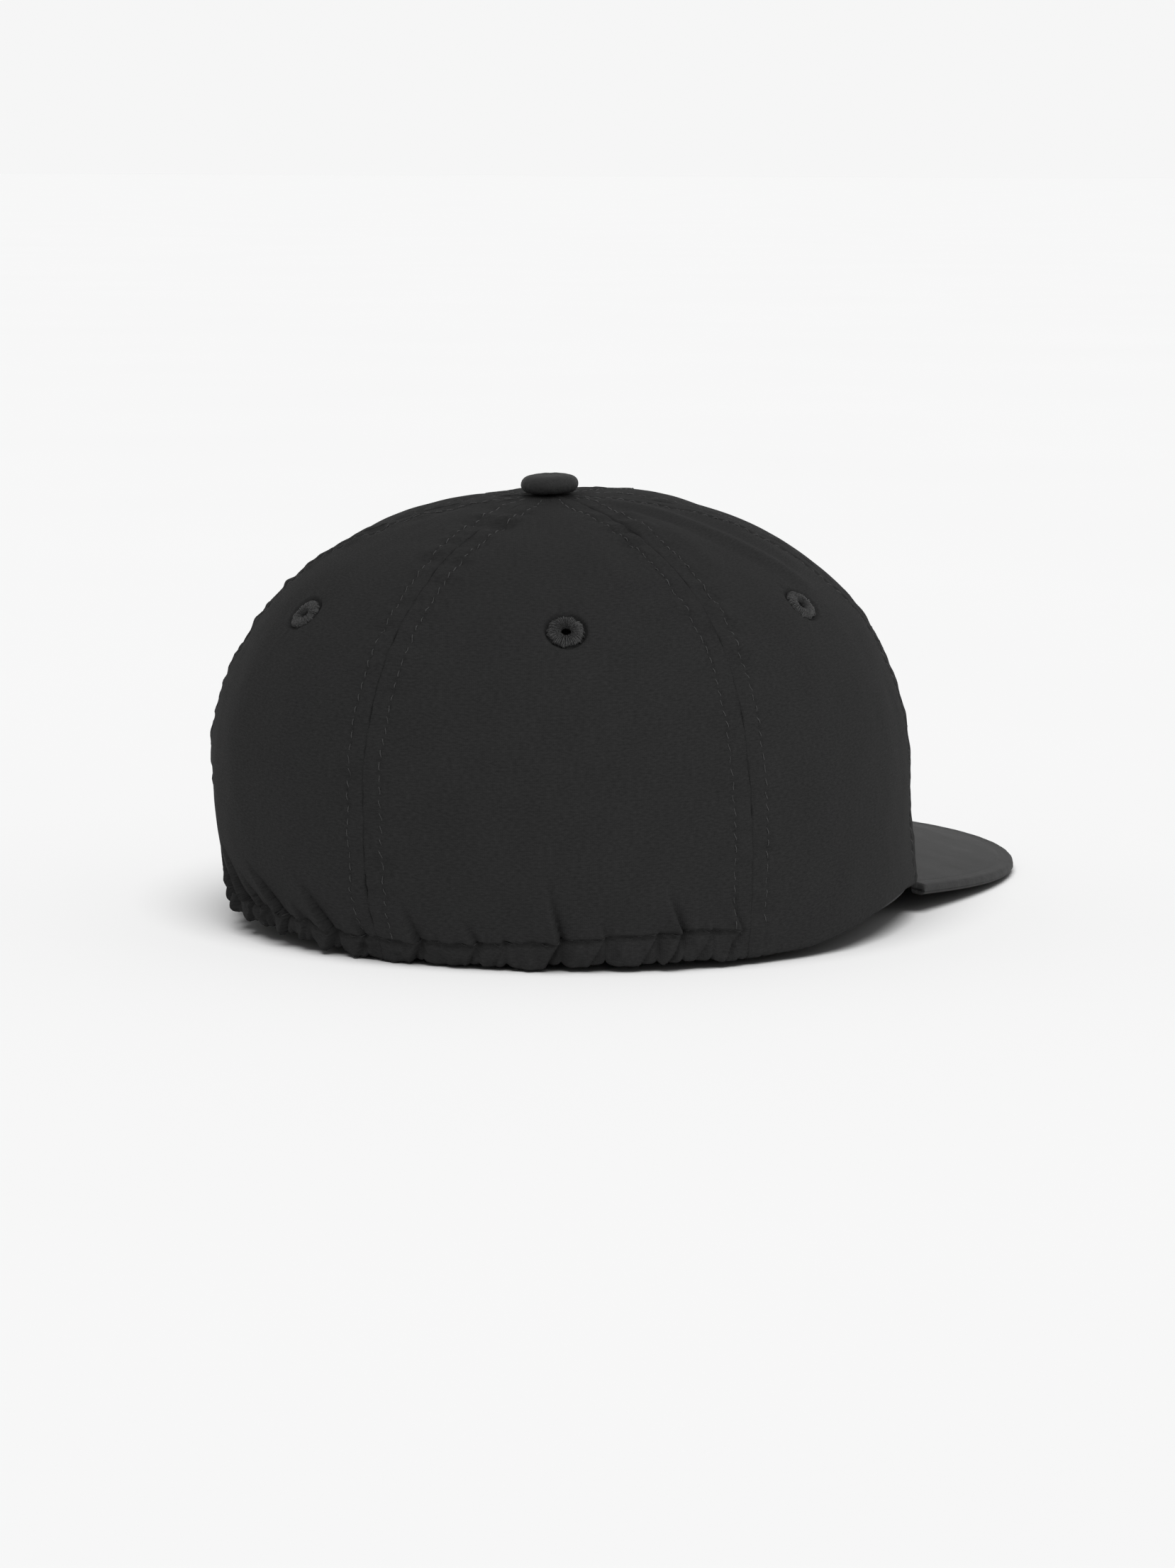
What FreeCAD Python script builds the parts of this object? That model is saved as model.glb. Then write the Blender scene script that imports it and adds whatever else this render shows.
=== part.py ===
import FreeCAD, Part
import math
import os

# Soft six-panel bump cap: fabric crown, stiff sloping peak, elasticated rear hem and a
# removable protective insert.  Millimetres.  +Z is up, the peak points to -Y and the wearer's
# right hand is at -X.  The cap is designed in the frame of its hem, whose plane is z = 0 with
# the crown's axis through the origin, and is then leaned back to stand as it does on a table:
# on the rear hem and the front edge of the peak.  Azimuths run from the front (0 degrees) over
# the wearer's right side (90) to the rear (180).

# crown, outer surface
CROWN_FRONT = 106.5
CROWN_BACK = 86.5
CROWN_SIDE = 92.6
CROWN_HEIGHT = 109.5
SHOULDER = 28.0
PLAN_POWER = {"side": 2.07, "back": 1.86, "front": 2.22}
RISE_POWER = {"side": 2.49, "back": 2.96, "front": 2.16}
HEM_TUCK = {"side": 0.013, "back": 0.076, "front": -0.055}
FLARE_SPREAD = 1.3

# sewn layers, as depths below the crown's outer surface
CLOTH = 0.8
LAYER_GAP = 0.15
TAPE_THICKNESS = 0.5
TAPE_WIDTH = 12.0
TAPE_SPREAD = 30.0
TAPE_APEX_RADIUS = 14.0
STIFFENER_THICKNESS = 0.6
ELASTIC_THICKNESS = 0.8
CASING_DEPTH = 1.95
CASING_THICKNESS = 0.6
BAND_DEPTH = 1.9
BAND_THICKNESS = 1.2
PATCH_DEPTH = 1.8
PATCH_THICKNESS = 0.8

# panels and what is sewn to them
FRONT_SEAM = 59.0
REAR_SEAM = 118.0
EYELET_AZIMUTH = {"front": 30.0, "side": 86.5, "rear": 148.0}
EYELET_ARC_HEIGHT = 89.0
EYELET_RADIUS = 5.3
EYELET_HOLE = 1.4
EYELET_NECK = 2.0
EYELET_PROUD = 0.7
EYELET_INNER_RADIUS = 4.6
EYELET_BORE_PROUD = 0.42
EYELET_BORE_ROLL = 0.5
EYELET_OUTER_ROLL = 0.9
EYELET_FOOT_EDGE = 0.15
EYELET_FOOT = 0.02
EYELET_DRILL_GAP = 0.1
EYELET_UNDER_GAP = 0.25
EYELET_UNDER_EDGE = 0.3
EYELET_UNDER_PROUD = 0.45
BAND_HEIGHT = 31.0
BAND_BOTTOM = 0.8
ELASTIC_LOW = 1.4
ELASTIC_HIGH = 7.4
CASING_HEIGHT = 8.6
CASING_TAPE_GAP = 0.6
REAR_JOIN_GAP = 0.5
SEAM_TAPE_LOW = 3.0
STIFFENER_LOW = 6.0
STIFFENER_HIGH = 74.0
STIFFENER_MARGIN = 5.5
APEX_HOLE = 2.0
HEM_ALLOWANCE = 6.0
LABEL_SEAM_ANGLE = 4.0
LABEL_WIDTH_ANGLE = 12.0
LABEL_LOW = 9.6
LABEL_HIGH = 27.0
LABEL_THICKNESS = 0.4
LABEL_GAP = 0.4

# covered button on top
BUTTON_RADIUS = 7.6
BUTTON_HEIGHT = 5.2
BUTTON_LIP = 1.3
BUTTON_STEM = 1.5
BUTTON_UNDERCUT = 0.9
BUTTON_STEPS = 8
BACKING_RADIUS = 6.5
BACKING_THICKNESS = 1.0
BACKING_BORE = 1.7
BACKING_GAP = 0.4

# peak
PEAK_TEMPLE = 59.0
PEAK_FRONT = 167.7
PEAK_HALF_WIDTH = 82.8
PEAK_POWER = 2.90
PEAK_CURVE = 0.0012
PEAK_SLOPE = 0.144
PEAK_COVER = 0.6
PEAK_BOARD = 2.0
PEAK_BOARD_INSET = 0.9
PEAK_INNER_DEPTH = 1.6
PEAK_CUT_DEPTH = 16.0
PEAK_CUT_MARGIN = 20.0
PEAK_CUT_BEHIND = 30.0
PEAK_SLAB_MARGIN = 10.0
PEAK_PRISM_HALF = 60.0
PEAK_EDGE_STEPS = 16
PEAK_SEWN_STEPS = 12

# protective insert
INSERT_FRONT = 97.0
INSERT_BACK = 81.0
INSERT_SIDE = 83.5
INSERT_TOP = 104.7
INSERT_RIM = 38.0
INSERT_PLAN_POWER = 2.15
INSERT_RISE_POWER = 2.35
SHELL_THICKNESS = 2.2
RIB_HEIGHT = 1.2
RIB_HALF_ANGLE = 2.0
RIB_AZIMUTHS = [20.0, 60.0, 120.0, 160.0]
RIB_LOW = 46.0
RIB_APEX_RADIUS = 30.0
VENT_AZIMUTHS = [0.0, 40.0, 90.0, 140.0, 180.0]
VENT_HEIGHT = 74.0
VENT_LENGTH = 22.0
VENT_WIDTH = 8.0
VENT_CUT_DEPTH = 20.0
SHELL_APEX_HOLE = 6.0
PAD_GAP = 0.15
PAD_THICKNESS = 5.0
PAD_RIM_GAP = 1.0
RIM_PAD_HIGH = 60.0
FRONT_PAD_HALF_ANGLE = 40.0
SIDE_PAD_ANGLES = (62.0, 112.0)
REAR_PAD_START = 138.0
CROWN_PAD_RADII = (12.0, 44.0)
PATCH_RADII = (10.0, 24.0)
HOOK_DEPTH = 2.95
HOOK_THICKNESS = 0.9

# how finely the curves are drawn
SKIRT_BOTTOM = -14.0
FINE_STEPS = 160
SHOULDER_CROWDING = 1.6
NORMAL_STEP = 0.01
SECTION_STEP = 10.0
CURVE_SPACING = 9.0
SURFACE_POINTS = (4, 14)


def mix(values, azimuth, front_power=2.0):
    """Blend the side, back and front values of a quantity at one azimuth."""
    along = math.cos(azimuth)
    end = "front" if along > 0 else "back"
    share = abs(along) ** (front_power if along > 0 else 2.0)
    return values["side"] * (1 - share) + values[end] * share


class Dome:
    """A dome over an egg-shaped plan, described by its profile at each azimuth."""

    def __init__(self, front, back, side, top, shoulder, plan, rise, tuck):
        self.front = front
        self.back = back
        self.side = side
        self.top = top
        self.shoulder = shoulder
        self.plan = plan
        self.rise = rise
        self.tuck = tuck

    def direction(self, azimuth):
        """Plan vector from the axis to the shoulder line at one azimuth."""
        reach = self.front if math.cos(azimuth) > 0 else self.back
        return FreeCAD.Vector(-self.side * math.sin(azimuth), -reach * math.cos(azimuth), 0)

    def profile(self, azimuth):
        """Radius and height up the outer surface, from below the hem to the apex."""
        reach = self.direction(azimuth).Length
        plan = mix(self.plan, azimuth)
        rise = mix(self.rise, azimuth)
        tuck = mix(self.tuck, azimuth, FLARE_SPREAD)
        points = []
        for i in range(FINE_STEPS):
            z = SKIRT_BOTTOM + (self.shoulder - SKIRT_BOTTOM) * i / FINE_STEPS
            drop = (self.shoulder - z) / self.shoulder
            points.append((reach * (1 - tuck * drop ** 2), z))
        for i in range(FINE_STEPS + 1):
            angle = math.pi / 2 * (i / FINE_STEPS) ** SHOULDER_CROWDING
            radius = reach * max(math.cos(angle), 0) ** (2 / plan)
            z = self.shoulder + (self.top - self.shoulder) * math.sin(angle) ** (2 / rise)
            points.append((radius, z))
        return points

    def place(self, azimuth, point):
        """Turn a radius and height at one azimuth into a point in space."""
        outward = self.direction(azimuth).normalize()
        return outward * point[0] + FreeCAD.Vector(0, 0, point[1])


def inset(points, depth):
    """Move a profile inward by a depth, at right angles to itself."""
    moved = []
    last = len(points) - 1
    for i, (radius, z) in enumerate(points):
        before = points[max(i - 1, 0)]
        after = points[min(i + 1, last)]
        run = after[0] - before[0]
        climb = after[1] - before[1]
        length = math.hypot(run, climb)
        moved.append((radius - depth * climb / length, z + depth * run / length))
    return moved


def between(first, second, share):
    return tuple(a + (b - a) * share for a, b in zip(first, second))


def crossing(points, limit):
    """Index and point where a profile passes a height ("z") or a radius ("r")."""
    axis = 1 if limit[0] == "z" else 0
    for i in range(len(points) - 1, 0, -1):
        low = points[i - 1][axis] - limit[1]
        high = points[i][axis] - limit[1]
        if low * high <= 0 and low != high:
            return i, between(points[i - 1], points[i], low / (low - high))
    raise ValueError("the profile never reaches %s = %s" % limit)


def stretch(points, low, high):
    """The part of a profile between two limits, with its ends exactly on them."""
    start, first = crossing(points, low)
    stop, last = crossing(points, high)
    return [first] + points[start:stop] + [last]


def resample(points, count):
    """Spread count points evenly along a polyline."""
    lengths = [0.0]
    for a, b in zip(points, points[1:]):
        lengths.append(lengths[-1] + math.dist(a, b))
    spread = []
    i = 0
    for k in range(count):
        goal = lengths[-1] * k / (count - 1)
        while i < len(points) - 2 and lengths[i + 1] < goal:
            i += 1
        share = (goal - lengths[i]) / max(lengths[i + 1] - lengths[i], 1e-9)
        spread.append(between(points[i], points[i + 1], min(share, 1.0)))
    return spread


def smooth_edge(points):
    """One smooth edge through points, with even parameters so that lofts match."""
    curve = Part.BSplineCurve()
    steps = len(points) - 1
    curve.interpolate(Points=points, Parameters=[k / steps for k in range(steps + 1)])
    return curve.toShape()


def section(dome, degrees, outer, inner, low, high, count):
    """Closed wire of a layer in the upright plane at one azimuth."""
    azimuth = math.radians(degrees)
    profile = dome.profile(azimuth)
    sides = []
    for depth in (outer, inner):
        line = resample(stretch(inset(profile, depth), low, high), count)
        sides.append([dome.place(azimuth, point) for point in line])
    outside, inside = sides
    inside.reverse()
    edges = [
        smooth_edge(outside),
        Part.makeLine(outside[-1], inside[0]),
        smooth_edge(inside),
        Part.makeLine(inside[-1], outside[0]),
    ]
    return Part.Wire(edges)


def gore(dome, start, end, outer, inner, low, high):
    """Solid layer of a dome between two azimuths, two depths and two limits."""
    azimuth = math.radians((start + end) / 2)
    middle = stretch(dome.profile(azimuth), low, high)
    length = sum(math.dist(a, b) for a, b in zip(middle, middle[1:]))
    fewest, most = SURFACE_POINTS
    count = min(max(round(length / CURVE_SPACING) + 1, fewest), most)
    steps = max(math.ceil((end - start) / SECTION_STEP), 1)
    wires = []
    for k in range(steps + 1):
        degrees = start + (end - start) * k / steps
        wires.append(section(dome, degrees, outer, inner, low, high, count))
    return Part.makeLoft(wires, True, False)


def all_round(dome, outer, inner, low, high):
    """Solid layer that runs right round a dome."""
    right = gore(dome, 0, 180, outer, inner, low, high)
    return right.fuse(mirrored(right)).removeSplitter()


def mirrored(shape):
    return shape.mirror(FreeCAD.Vector(0, 0, 0), FreeCAD.Vector(1, 0, 0))


def slab(outline_x, top, thickness, start_y, length):
    """Arched slab that slopes down towards the front, as deep as its thickness."""
    def arc(lift):
        places = (-outline_x, 0, outline_x)
        ends = [FreeCAD.Vector(x, start_y, peak_rise(x) + lift) for x in places]
        return Part.Arc(*ends).toShape()
    upper = arc(top)
    lower = arc(top - thickness)
    near, far = [
        Part.makeLine(upper.Vertexes[k].Point, lower.Vertexes[k].Point) for k in (0, 1)
    ]
    face = Part.Face(Part.Wire([upper, far, lower, near]))
    return face.extrude(FreeCAD.Vector(0, -length, -PEAK_SLOPE * length))


CROWN = Dome(CROWN_FRONT, CROWN_BACK, CROWN_SIDE, CROWN_HEIGHT, SHOULDER,
             PLAN_POWER, RISE_POWER, HEM_TUCK)
INSERT = Dome(INSERT_FRONT, INSERT_BACK, INSERT_SIDE, INSERT_TOP, INSERT_RIM,
              dict.fromkeys(PLAN_POWER, INSERT_PLAN_POWER),
              dict.fromkeys(RISE_POWER, INSERT_RISE_POWER),
              dict.fromkeys(HEM_TUCK, 0.0))


def hem_point(degrees, depth=0.0, z=0.0):
    """Point of the crown's layer at one depth where it passes a height near the hem."""
    azimuth = math.radians(degrees)
    profile = inset(CROWN.profile(azimuth), depth)
    return CROWN.place(azimuth, crossing(profile, ("z", z))[1])


TEMPLE = hem_point(PEAK_TEMPLE)


def peak_rise(x):
    """Height of the peak's top surface level with the temples."""
    return PEAK_CURVE * (TEMPLE.x ** 2 - x ** 2)


def peak_height(x, y):
    return peak_rise(x) - PEAK_SLOPE * (TEMPLE.y - y)


def peak_edge(inset_by=0.0):
    """Points round the free edge of the peak, from the wearer's left to the right."""
    half_width = PEAK_HALF_WIDTH - inset_by
    reach = PEAK_FRONT + TEMPLE.y - inset_by
    points = []
    for k in range(PEAK_EDGE_STEPS + 1):
        turn = math.pi * (k / PEAK_EDGE_STEPS - 0.5)
        x = math.copysign(half_width * abs(math.sin(turn)) ** (2 / PEAK_POWER), -turn)
        y = TEMPLE.y - reach * max(math.cos(turn), 0) ** (2 / PEAK_POWER)
        points.append(FreeCAD.Vector(x, y, 0))
    return points


def peak_outline(inset_by=0.0):
    """Flat face of the peak's plan, from its free edge back to the crown."""
    free = peak_edge(inset_by)
    sewn = []
    for k in range(PEAK_SEWN_STEPS + 1):
        degrees = PEAK_TEMPLE * (1 - 2 * k / PEAK_SEWN_STEPS)
        point = hem_point(degrees, PEAK_INNER_DEPTH)
        sewn.append(FreeCAD.Vector(point.x, point.y, 0))
    edges = [
        smooth_edge(free),
        Part.makeLine(free[-1], sewn[0]),
        smooth_edge(sewn),
        Part.makeLine(sewn[-1], free[0]),
    ]
    return Part.Face(Part.Wire(edges))


def peak_layer(top, thickness, inset_by=0.0):
    """One layer of the peak: an arched slab trimmed to the peak's plan."""
    prism = peak_outline(inset_by)
    prism.translate(FreeCAD.Vector(0, 0, -PEAK_PRISM_HALF))
    prism = prism.extrude(FreeCAD.Vector(0, 0, 2 * PEAK_PRISM_HALF))
    length = PEAK_FRONT + TEMPLE.y + PEAK_SLAB_MARGIN
    bed = slab(PEAK_HALF_WIDTH + PEAK_SLAB_MARGIN, top, thickness, TEMPLE.y, length)
    return bed.common(prism).Solids[0]


def turned(profile, centre, axis):
    """Solid of revolution: a profile of (radius, height) points about an axis."""
    points = [FreeCAD.Vector(radius, 0, height) for radius, height in profile]
    face = Part.Face(Part.makePolygon(points + points[:1]))
    solid = face.revolve(FreeCAD.Vector(0, 0, 0), FreeCAD.Vector(0, 0, 1), 360)
    solid.Placement = FreeCAD.Placement(centre, FreeCAD.Rotation(FreeCAD.Vector(0, 0, 1), axis))
    return solid


def surface_frame(dome, degrees, z):
    """Point on a dome at one azimuth and height, and its outward normal."""
    profile = dome.profile(math.radians(degrees))
    index, point = crossing(profile, ("z", z))
    azimuth = math.radians(degrees)
    centre = dome.place(azimuth, point)
    up = dome.place(azimuth, profile[index]) - dome.place(azimuth, profile[index - 1])
    ahead = dome.profile(azimuth + NORMAL_STEP)
    across = dome.place(azimuth + NORMAL_STEP, crossing(ahead, ("z", z))[1]) - centre
    normal = up.cross(across).normalize()
    if normal.dot(centre) < 0:
        normal = normal * -1
    return centre, normal


def height_at_arc(dome, degrees, arc):
    """Height of the point that lies an arc length up the surface from the hem."""
    profile = stretch(dome.profile(math.radians(degrees)), ("z", 0.0), ("r", APEX_HOLE))
    travelled = 0.0
    for a, b in zip(profile, profile[1:]):
        travelled += math.dist(a, b)
        if travelled >= arc:
            return b[1]
    return profile[-1][1]


def eyelet_frames():
    frames = {}
    for place, degrees in EYELET_AZIMUTH.items():
        z = height_at_arc(CROWN, degrees, EYELET_ARC_HEIGHT)
        frames[place] = surface_frame(CROWN, degrees, z)
    return frames


def make_panels():
    """Six crown panels, each with a hole where its eyelet is worked."""
    spans = {"front": (0.0, FRONT_SEAM), "side": (FRONT_SEAM, REAR_SEAM),
             "rear": (REAR_SEAM, 180.0)}
    under_peak = slab(PEAK_HALF_WIDTH + PEAK_CUT_MARGIN, 0.0, PEAK_CUT_DEPTH,
                      TEMPLE.y + PEAK_CUT_BEHIND, PEAK_FRONT)
    under_peak.translate(FreeCAD.Vector(0, 0, PEAK_SLOPE * PEAK_CUT_BEHIND))
    reach = 2 * CROWN_FRONT
    under_hem = Part.makeBox(2 * reach, 2 * reach, 2 * HEM_ALLOWANCE,
                             FreeCAD.Vector(-reach, -reach, -2 * HEM_ALLOWANCE))
    frames = eyelet_frames()
    panels = {}
    for place, (start, end) in spans.items():
        panel = gore(CROWN, start, end, 0.0, CLOTH, ("z", -HEM_ALLOWANCE), ("r", APEX_HOLE))
        panel = panel.cut(under_peak if place == "front" else under_hem)
        centre, normal = frames[place]
        start_point = centre - normal * 3 * CLOTH
        drill = Part.makeCylinder(EYELET_NECK + EYELET_DRILL_GAP, 6 * CLOTH, start_point, normal)
        panel = panel.cut(drill).Solids[0]
        panels["panel_%s_right" % place] = panel
        panels["panel_%s_left" % place] = mirrored(panel)
    return panels


def make_eyelets():
    """Thread-worked rings round the vent holes, proud outside and inside."""
    under = -CLOTH - EYELET_UNDER_GAP
    profile = [
        (EYELET_HOLE, EYELET_BORE_PROUD),
        (EYELET_HOLE + EYELET_BORE_ROLL, EYELET_PROUD),
        (EYELET_RADIUS - EYELET_OUTER_ROLL, EYELET_PROUD),
        (EYELET_RADIUS, EYELET_FOOT_EDGE),
        (EYELET_RADIUS, EYELET_FOOT),
        (EYELET_NECK, EYELET_FOOT),
        (EYELET_NECK, under),
        (EYELET_INNER_RADIUS, under),
        (EYELET_INNER_RADIUS, under - EYELET_UNDER_EDGE),
        (EYELET_HOLE, under - EYELET_UNDER_PROUD),
    ]
    eyelets = {}
    for place, (centre, normal) in eyelet_frames().items():
        ring = turned(profile, centre, normal)
        eyelets["eyelet_%s_right" % place] = ring
        eyelets["eyelet_%s_left" % place] = mirrored(ring)
    return eyelets


def tape(degrees, low):
    """Tape of one width over a seam, from near the hem to near the button."""
    outer = CLOTH + LAYER_GAP
    layer = gore(CROWN, degrees - TAPE_SPREAD, degrees + TAPE_SPREAD, outer,
                 outer + TAPE_THICKNESS, ("z", low), ("r", TAPE_APEX_RADIUS))
    strip = Part.makeBox(2 * CROWN_FRONT, TAPE_WIDTH, 2 * CROWN_HEIGHT,
                         FreeCAD.Vector(0, -TAPE_WIDTH / 2, 0))
    outward = CROWN.direction(math.radians(degrees))
    strip.rotate(FreeCAD.Vector(0, 0, 0), FreeCAD.Vector(0, 0, 1),
                 math.degrees(math.atan2(outward.y, outward.x)))
    return layer.common(strip).Solids[0]


def make_tapes():
    rear_low = CASING_HEIGHT + CASING_TAPE_GAP
    side_front = tape(FRONT_SEAM, SEAM_TAPE_LOW)
    side_rear = tape(REAR_SEAM, rear_low)
    return {
        "seam_tape_front": tape(0.0, SEAM_TAPE_LOW),
        "seam_tape_front_right": side_front,
        "seam_tape_front_left": mirrored(side_front),
        "seam_tape_rear_right": side_rear,
        "seam_tape_rear_left": mirrored(side_rear),
        "seam_tape_rear": tape(180.0, rear_low),
    }


def make_linings():
    """Stiffeners, sweatband, elastic and its casing, label and loop patch."""
    inner = CLOTH + LAYER_GAP
    stiffener = gore(CROWN, STIFFENER_MARGIN, FRONT_SEAM - STIFFENER_MARGIN, inner,
                     inner + STIFFENER_THICKNESS, ("z", STIFFENER_LOW), ("z", STIFFENER_HIGH))
    band_end = REAR_SEAM - REAR_JOIN_GAP
    band = gore(CROWN, -band_end, band_end, BAND_DEPTH, BAND_DEPTH + BAND_THICKNESS,
                ("z", BAND_BOTTOM), ("z", BAND_HEIGHT))
    elastic_start = REAR_SEAM + REAR_JOIN_GAP
    elastic = gore(CROWN, elastic_start, 360 - elastic_start, inner, inner + ELASTIC_THICKNESS,
                   ("z", ELASTIC_LOW), ("z", ELASTIC_HIGH))
    casing = gore(CROWN, REAR_SEAM, 360 - REAR_SEAM, CASING_DEPTH, CASING_DEPTH + CASING_THICKNESS,
                  ("z", 0.0), ("z", CASING_HEIGHT))
    label_depth = BAND_DEPTH + BAND_THICKNESS + LABEL_GAP
    label_start = 360 - REAR_SEAM + LABEL_SEAM_ANGLE
    label = gore(CROWN, label_start, label_start + LABEL_WIDTH_ANGLE, label_depth,
                 label_depth + LABEL_THICKNESS, ("z", LABEL_LOW), ("z", LABEL_HIGH))
    outer_radius = ("r", PATCH_RADII[1])
    inner_radius = ("r", PATCH_RADII[0])
    loop = all_round(CROWN, PATCH_DEPTH, PATCH_DEPTH + PATCH_THICKNESS, outer_radius, inner_radius)
    return {
        "front_stiffener_right": stiffener,
        "front_stiffener_left": mirrored(stiffener),
        "sweatband": band,
        "elastic_band": elastic,
        "rear_hem_casing": casing,
        "care_label": label,
        "loop_patch": loop,
    }


def make_button():
    """Covered button on the apex, and the washer that holds it from inside."""
    stem_end = -CLOTH - BACKING_GAP - BACKING_THICKNESS
    dome = [
        (0, stem_end), (BUTTON_STEM, stem_end), (BUTTON_STEM, 0.0),
        (BUTTON_RADIUS - BUTTON_UNDERCUT, 0.0),
    ]
    for k in range(BUTTON_STEPS):
        turn = math.pi / 2 * k / BUTTON_STEPS
        height = BUTTON_LIP + (BUTTON_HEIGHT - BUTTON_LIP) * math.sin(turn)
        dome.append((BUTTON_RADIUS * math.cos(turn), height))
    dome.append((0, BUTTON_HEIGHT))
    top = FreeCAD.Vector(0, 0, CROWN_HEIGHT)
    up = FreeCAD.Vector(0, 0, 1)
    disc_top = stem_end + BACKING_THICKNESS
    disc = [
        (BACKING_BORE, stem_end), (BACKING_RADIUS, stem_end),
        (BACKING_RADIUS, disc_top), (BACKING_BORE, disc_top),
    ]
    return {"top_button": turned(dome, top, up), "button_backing": turned(disc, top, up)}


def make_peak():
    return {
        "peak_cover_top": peak_layer(0.0, PEAK_COVER),
        "peak_board": peak_layer(-PEAK_COVER, PEAK_BOARD, PEAK_BOARD_INSET),
        "peak_cover_under": peak_layer(-PEAK_COVER - PEAK_BOARD, PEAK_COVER),
    }


def vent_cutter(degrees):
    """Upright slot with round ends that passes through the insert's shell."""
    centre, normal = surface_frame(INSERT, degrees, VENT_HEIGHT)
    half = VENT_WIDTH / 2
    straight = VENT_LENGTH - VENT_WIDTH
    bottom = -VENT_CUT_DEPTH / 2
    corner = FreeCAD.Vector(-half, -straight / 2, bottom)
    bar = Part.makeBox(VENT_WIDTH, straight, VENT_CUT_DEPTH, corner)
    for end in (-1, 1):
        foot = FreeCAD.Vector(0, end * straight / 2, bottom)
        bar = bar.fuse(Part.makeCylinder(half, VENT_CUT_DEPTH, foot))
    across = FreeCAD.Vector(0, 0, 1).cross(normal).normalize()
    upward = normal.cross(across)
    turn = FreeCAD.Rotation(across, upward, normal, "ZXY")
    bar.Placement = FreeCAD.Placement(centre, turn)
    return bar


def make_insert():
    """Moulded shell with ribs and vents, its foam pads and its hook patch."""
    rim = ("z", INSERT_RIM)
    shell = gore(INSERT, 0, 180, 0.0, SHELL_THICKNESS, rim, ("r", SHELL_APEX_HOLE))
    for degrees in RIB_AZIMUTHS:
        rib = gore(INSERT, degrees - RIB_HALF_ANGLE, degrees + RIB_HALF_ANGLE, -RIB_HEIGHT,
                   SHELL_THICKNESS / 2, ("z", RIB_LOW), ("r", RIB_APEX_RADIUS))
        shell = shell.fuse(rib)
    for degrees in VENT_AZIMUTHS:
        shell = shell.cut(vent_cutter(degrees))
    shell = shell.fuse(mirrored(shell)).removeSplitter()
    near = SHELL_THICKNESS + PAD_GAP
    far = near + PAD_THICKNESS
    rim_high = ("z", RIM_PAD_HIGH)
    pad_low = ("z", INSERT_RIM + PAD_RIM_GAP)
    side_pad = gore(INSERT, *SIDE_PAD_ANGLES, near, far, pad_low, rim_high)
    crown_inner, crown_outer = CROWN_PAD_RADII
    return {
        "bump_shell": shell.Solids[0],
        "front_pad": gore(INSERT, -FRONT_PAD_HALF_ANGLE, FRONT_PAD_HALF_ANGLE, near, far,
                          pad_low, rim_high),
        "rear_pad": gore(INSERT, REAR_PAD_START, 360 - REAR_PAD_START, near, far,
                         pad_low, rim_high),
        "side_pad_right": side_pad,
        "side_pad_left": mirrored(side_pad),
        "crown_pad": all_round(INSERT, near, far, ("r", crown_outer), ("r", crown_inner)),
        "hook_patch": all_round(CROWN, HOOK_DEPTH, HOOK_DEPTH + HOOK_THICKNESS,
                                ("r", PATCH_RADII[1]), ("r", PATCH_RADII[0])),
    }


def standing_lean():
    """Lean, in degrees, at which the peak's lowest edge meets the rear hem's level."""
    rear = hem_point(180.0)
    leans = []
    for point in peak_edge():
        drop = PEAK_COVER * 2 + PEAK_BOARD - peak_height(point.x, point.y)
        leans.append(math.atan2(drop, rear.y - point.y))
    return math.degrees(max(leans))


def main():
    os.makedirs("parts", exist_ok=True)
    pieces = {}
    for group in (make_panels, make_eyelets, make_tapes, make_linings, make_button, make_peak,
                  make_insert):
        pieces.update(group())
    lean = standing_lean()
    rear = hem_point(180.0)
    for shape in pieces.values():
        shape.rotate(rear, FreeCAD.Vector(1, 0, 0), -lean)
    box = FreeCAD.BoundBox()
    for shape in pieces.values():
        box.add(shape.optimalBoundingBox(False))
    shift = FreeCAD.Vector(-box.Center.x, -box.Center.y, -box.ZMin)
    print("lean %.3f degrees, hem frame origin moved by %s" % (lean, shift))
    print("box %.1f x %.1f x %.1f" % (box.XLength, box.YLength, box.ZLength))
    for name, shape in pieces.items():
        shape.translate(shift)
        shape.exportStep("parts/%s.step" % name)
        print("%-24s valid %s, %.2f cm3, %d solid" % (
            name, shape.isValid(), shape.Volume / 1000, len(shape.Solids)))


main()
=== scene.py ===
import math

import bmesh
import bpy
import numpy as np
from mathutils import Matrix, Vector


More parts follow.
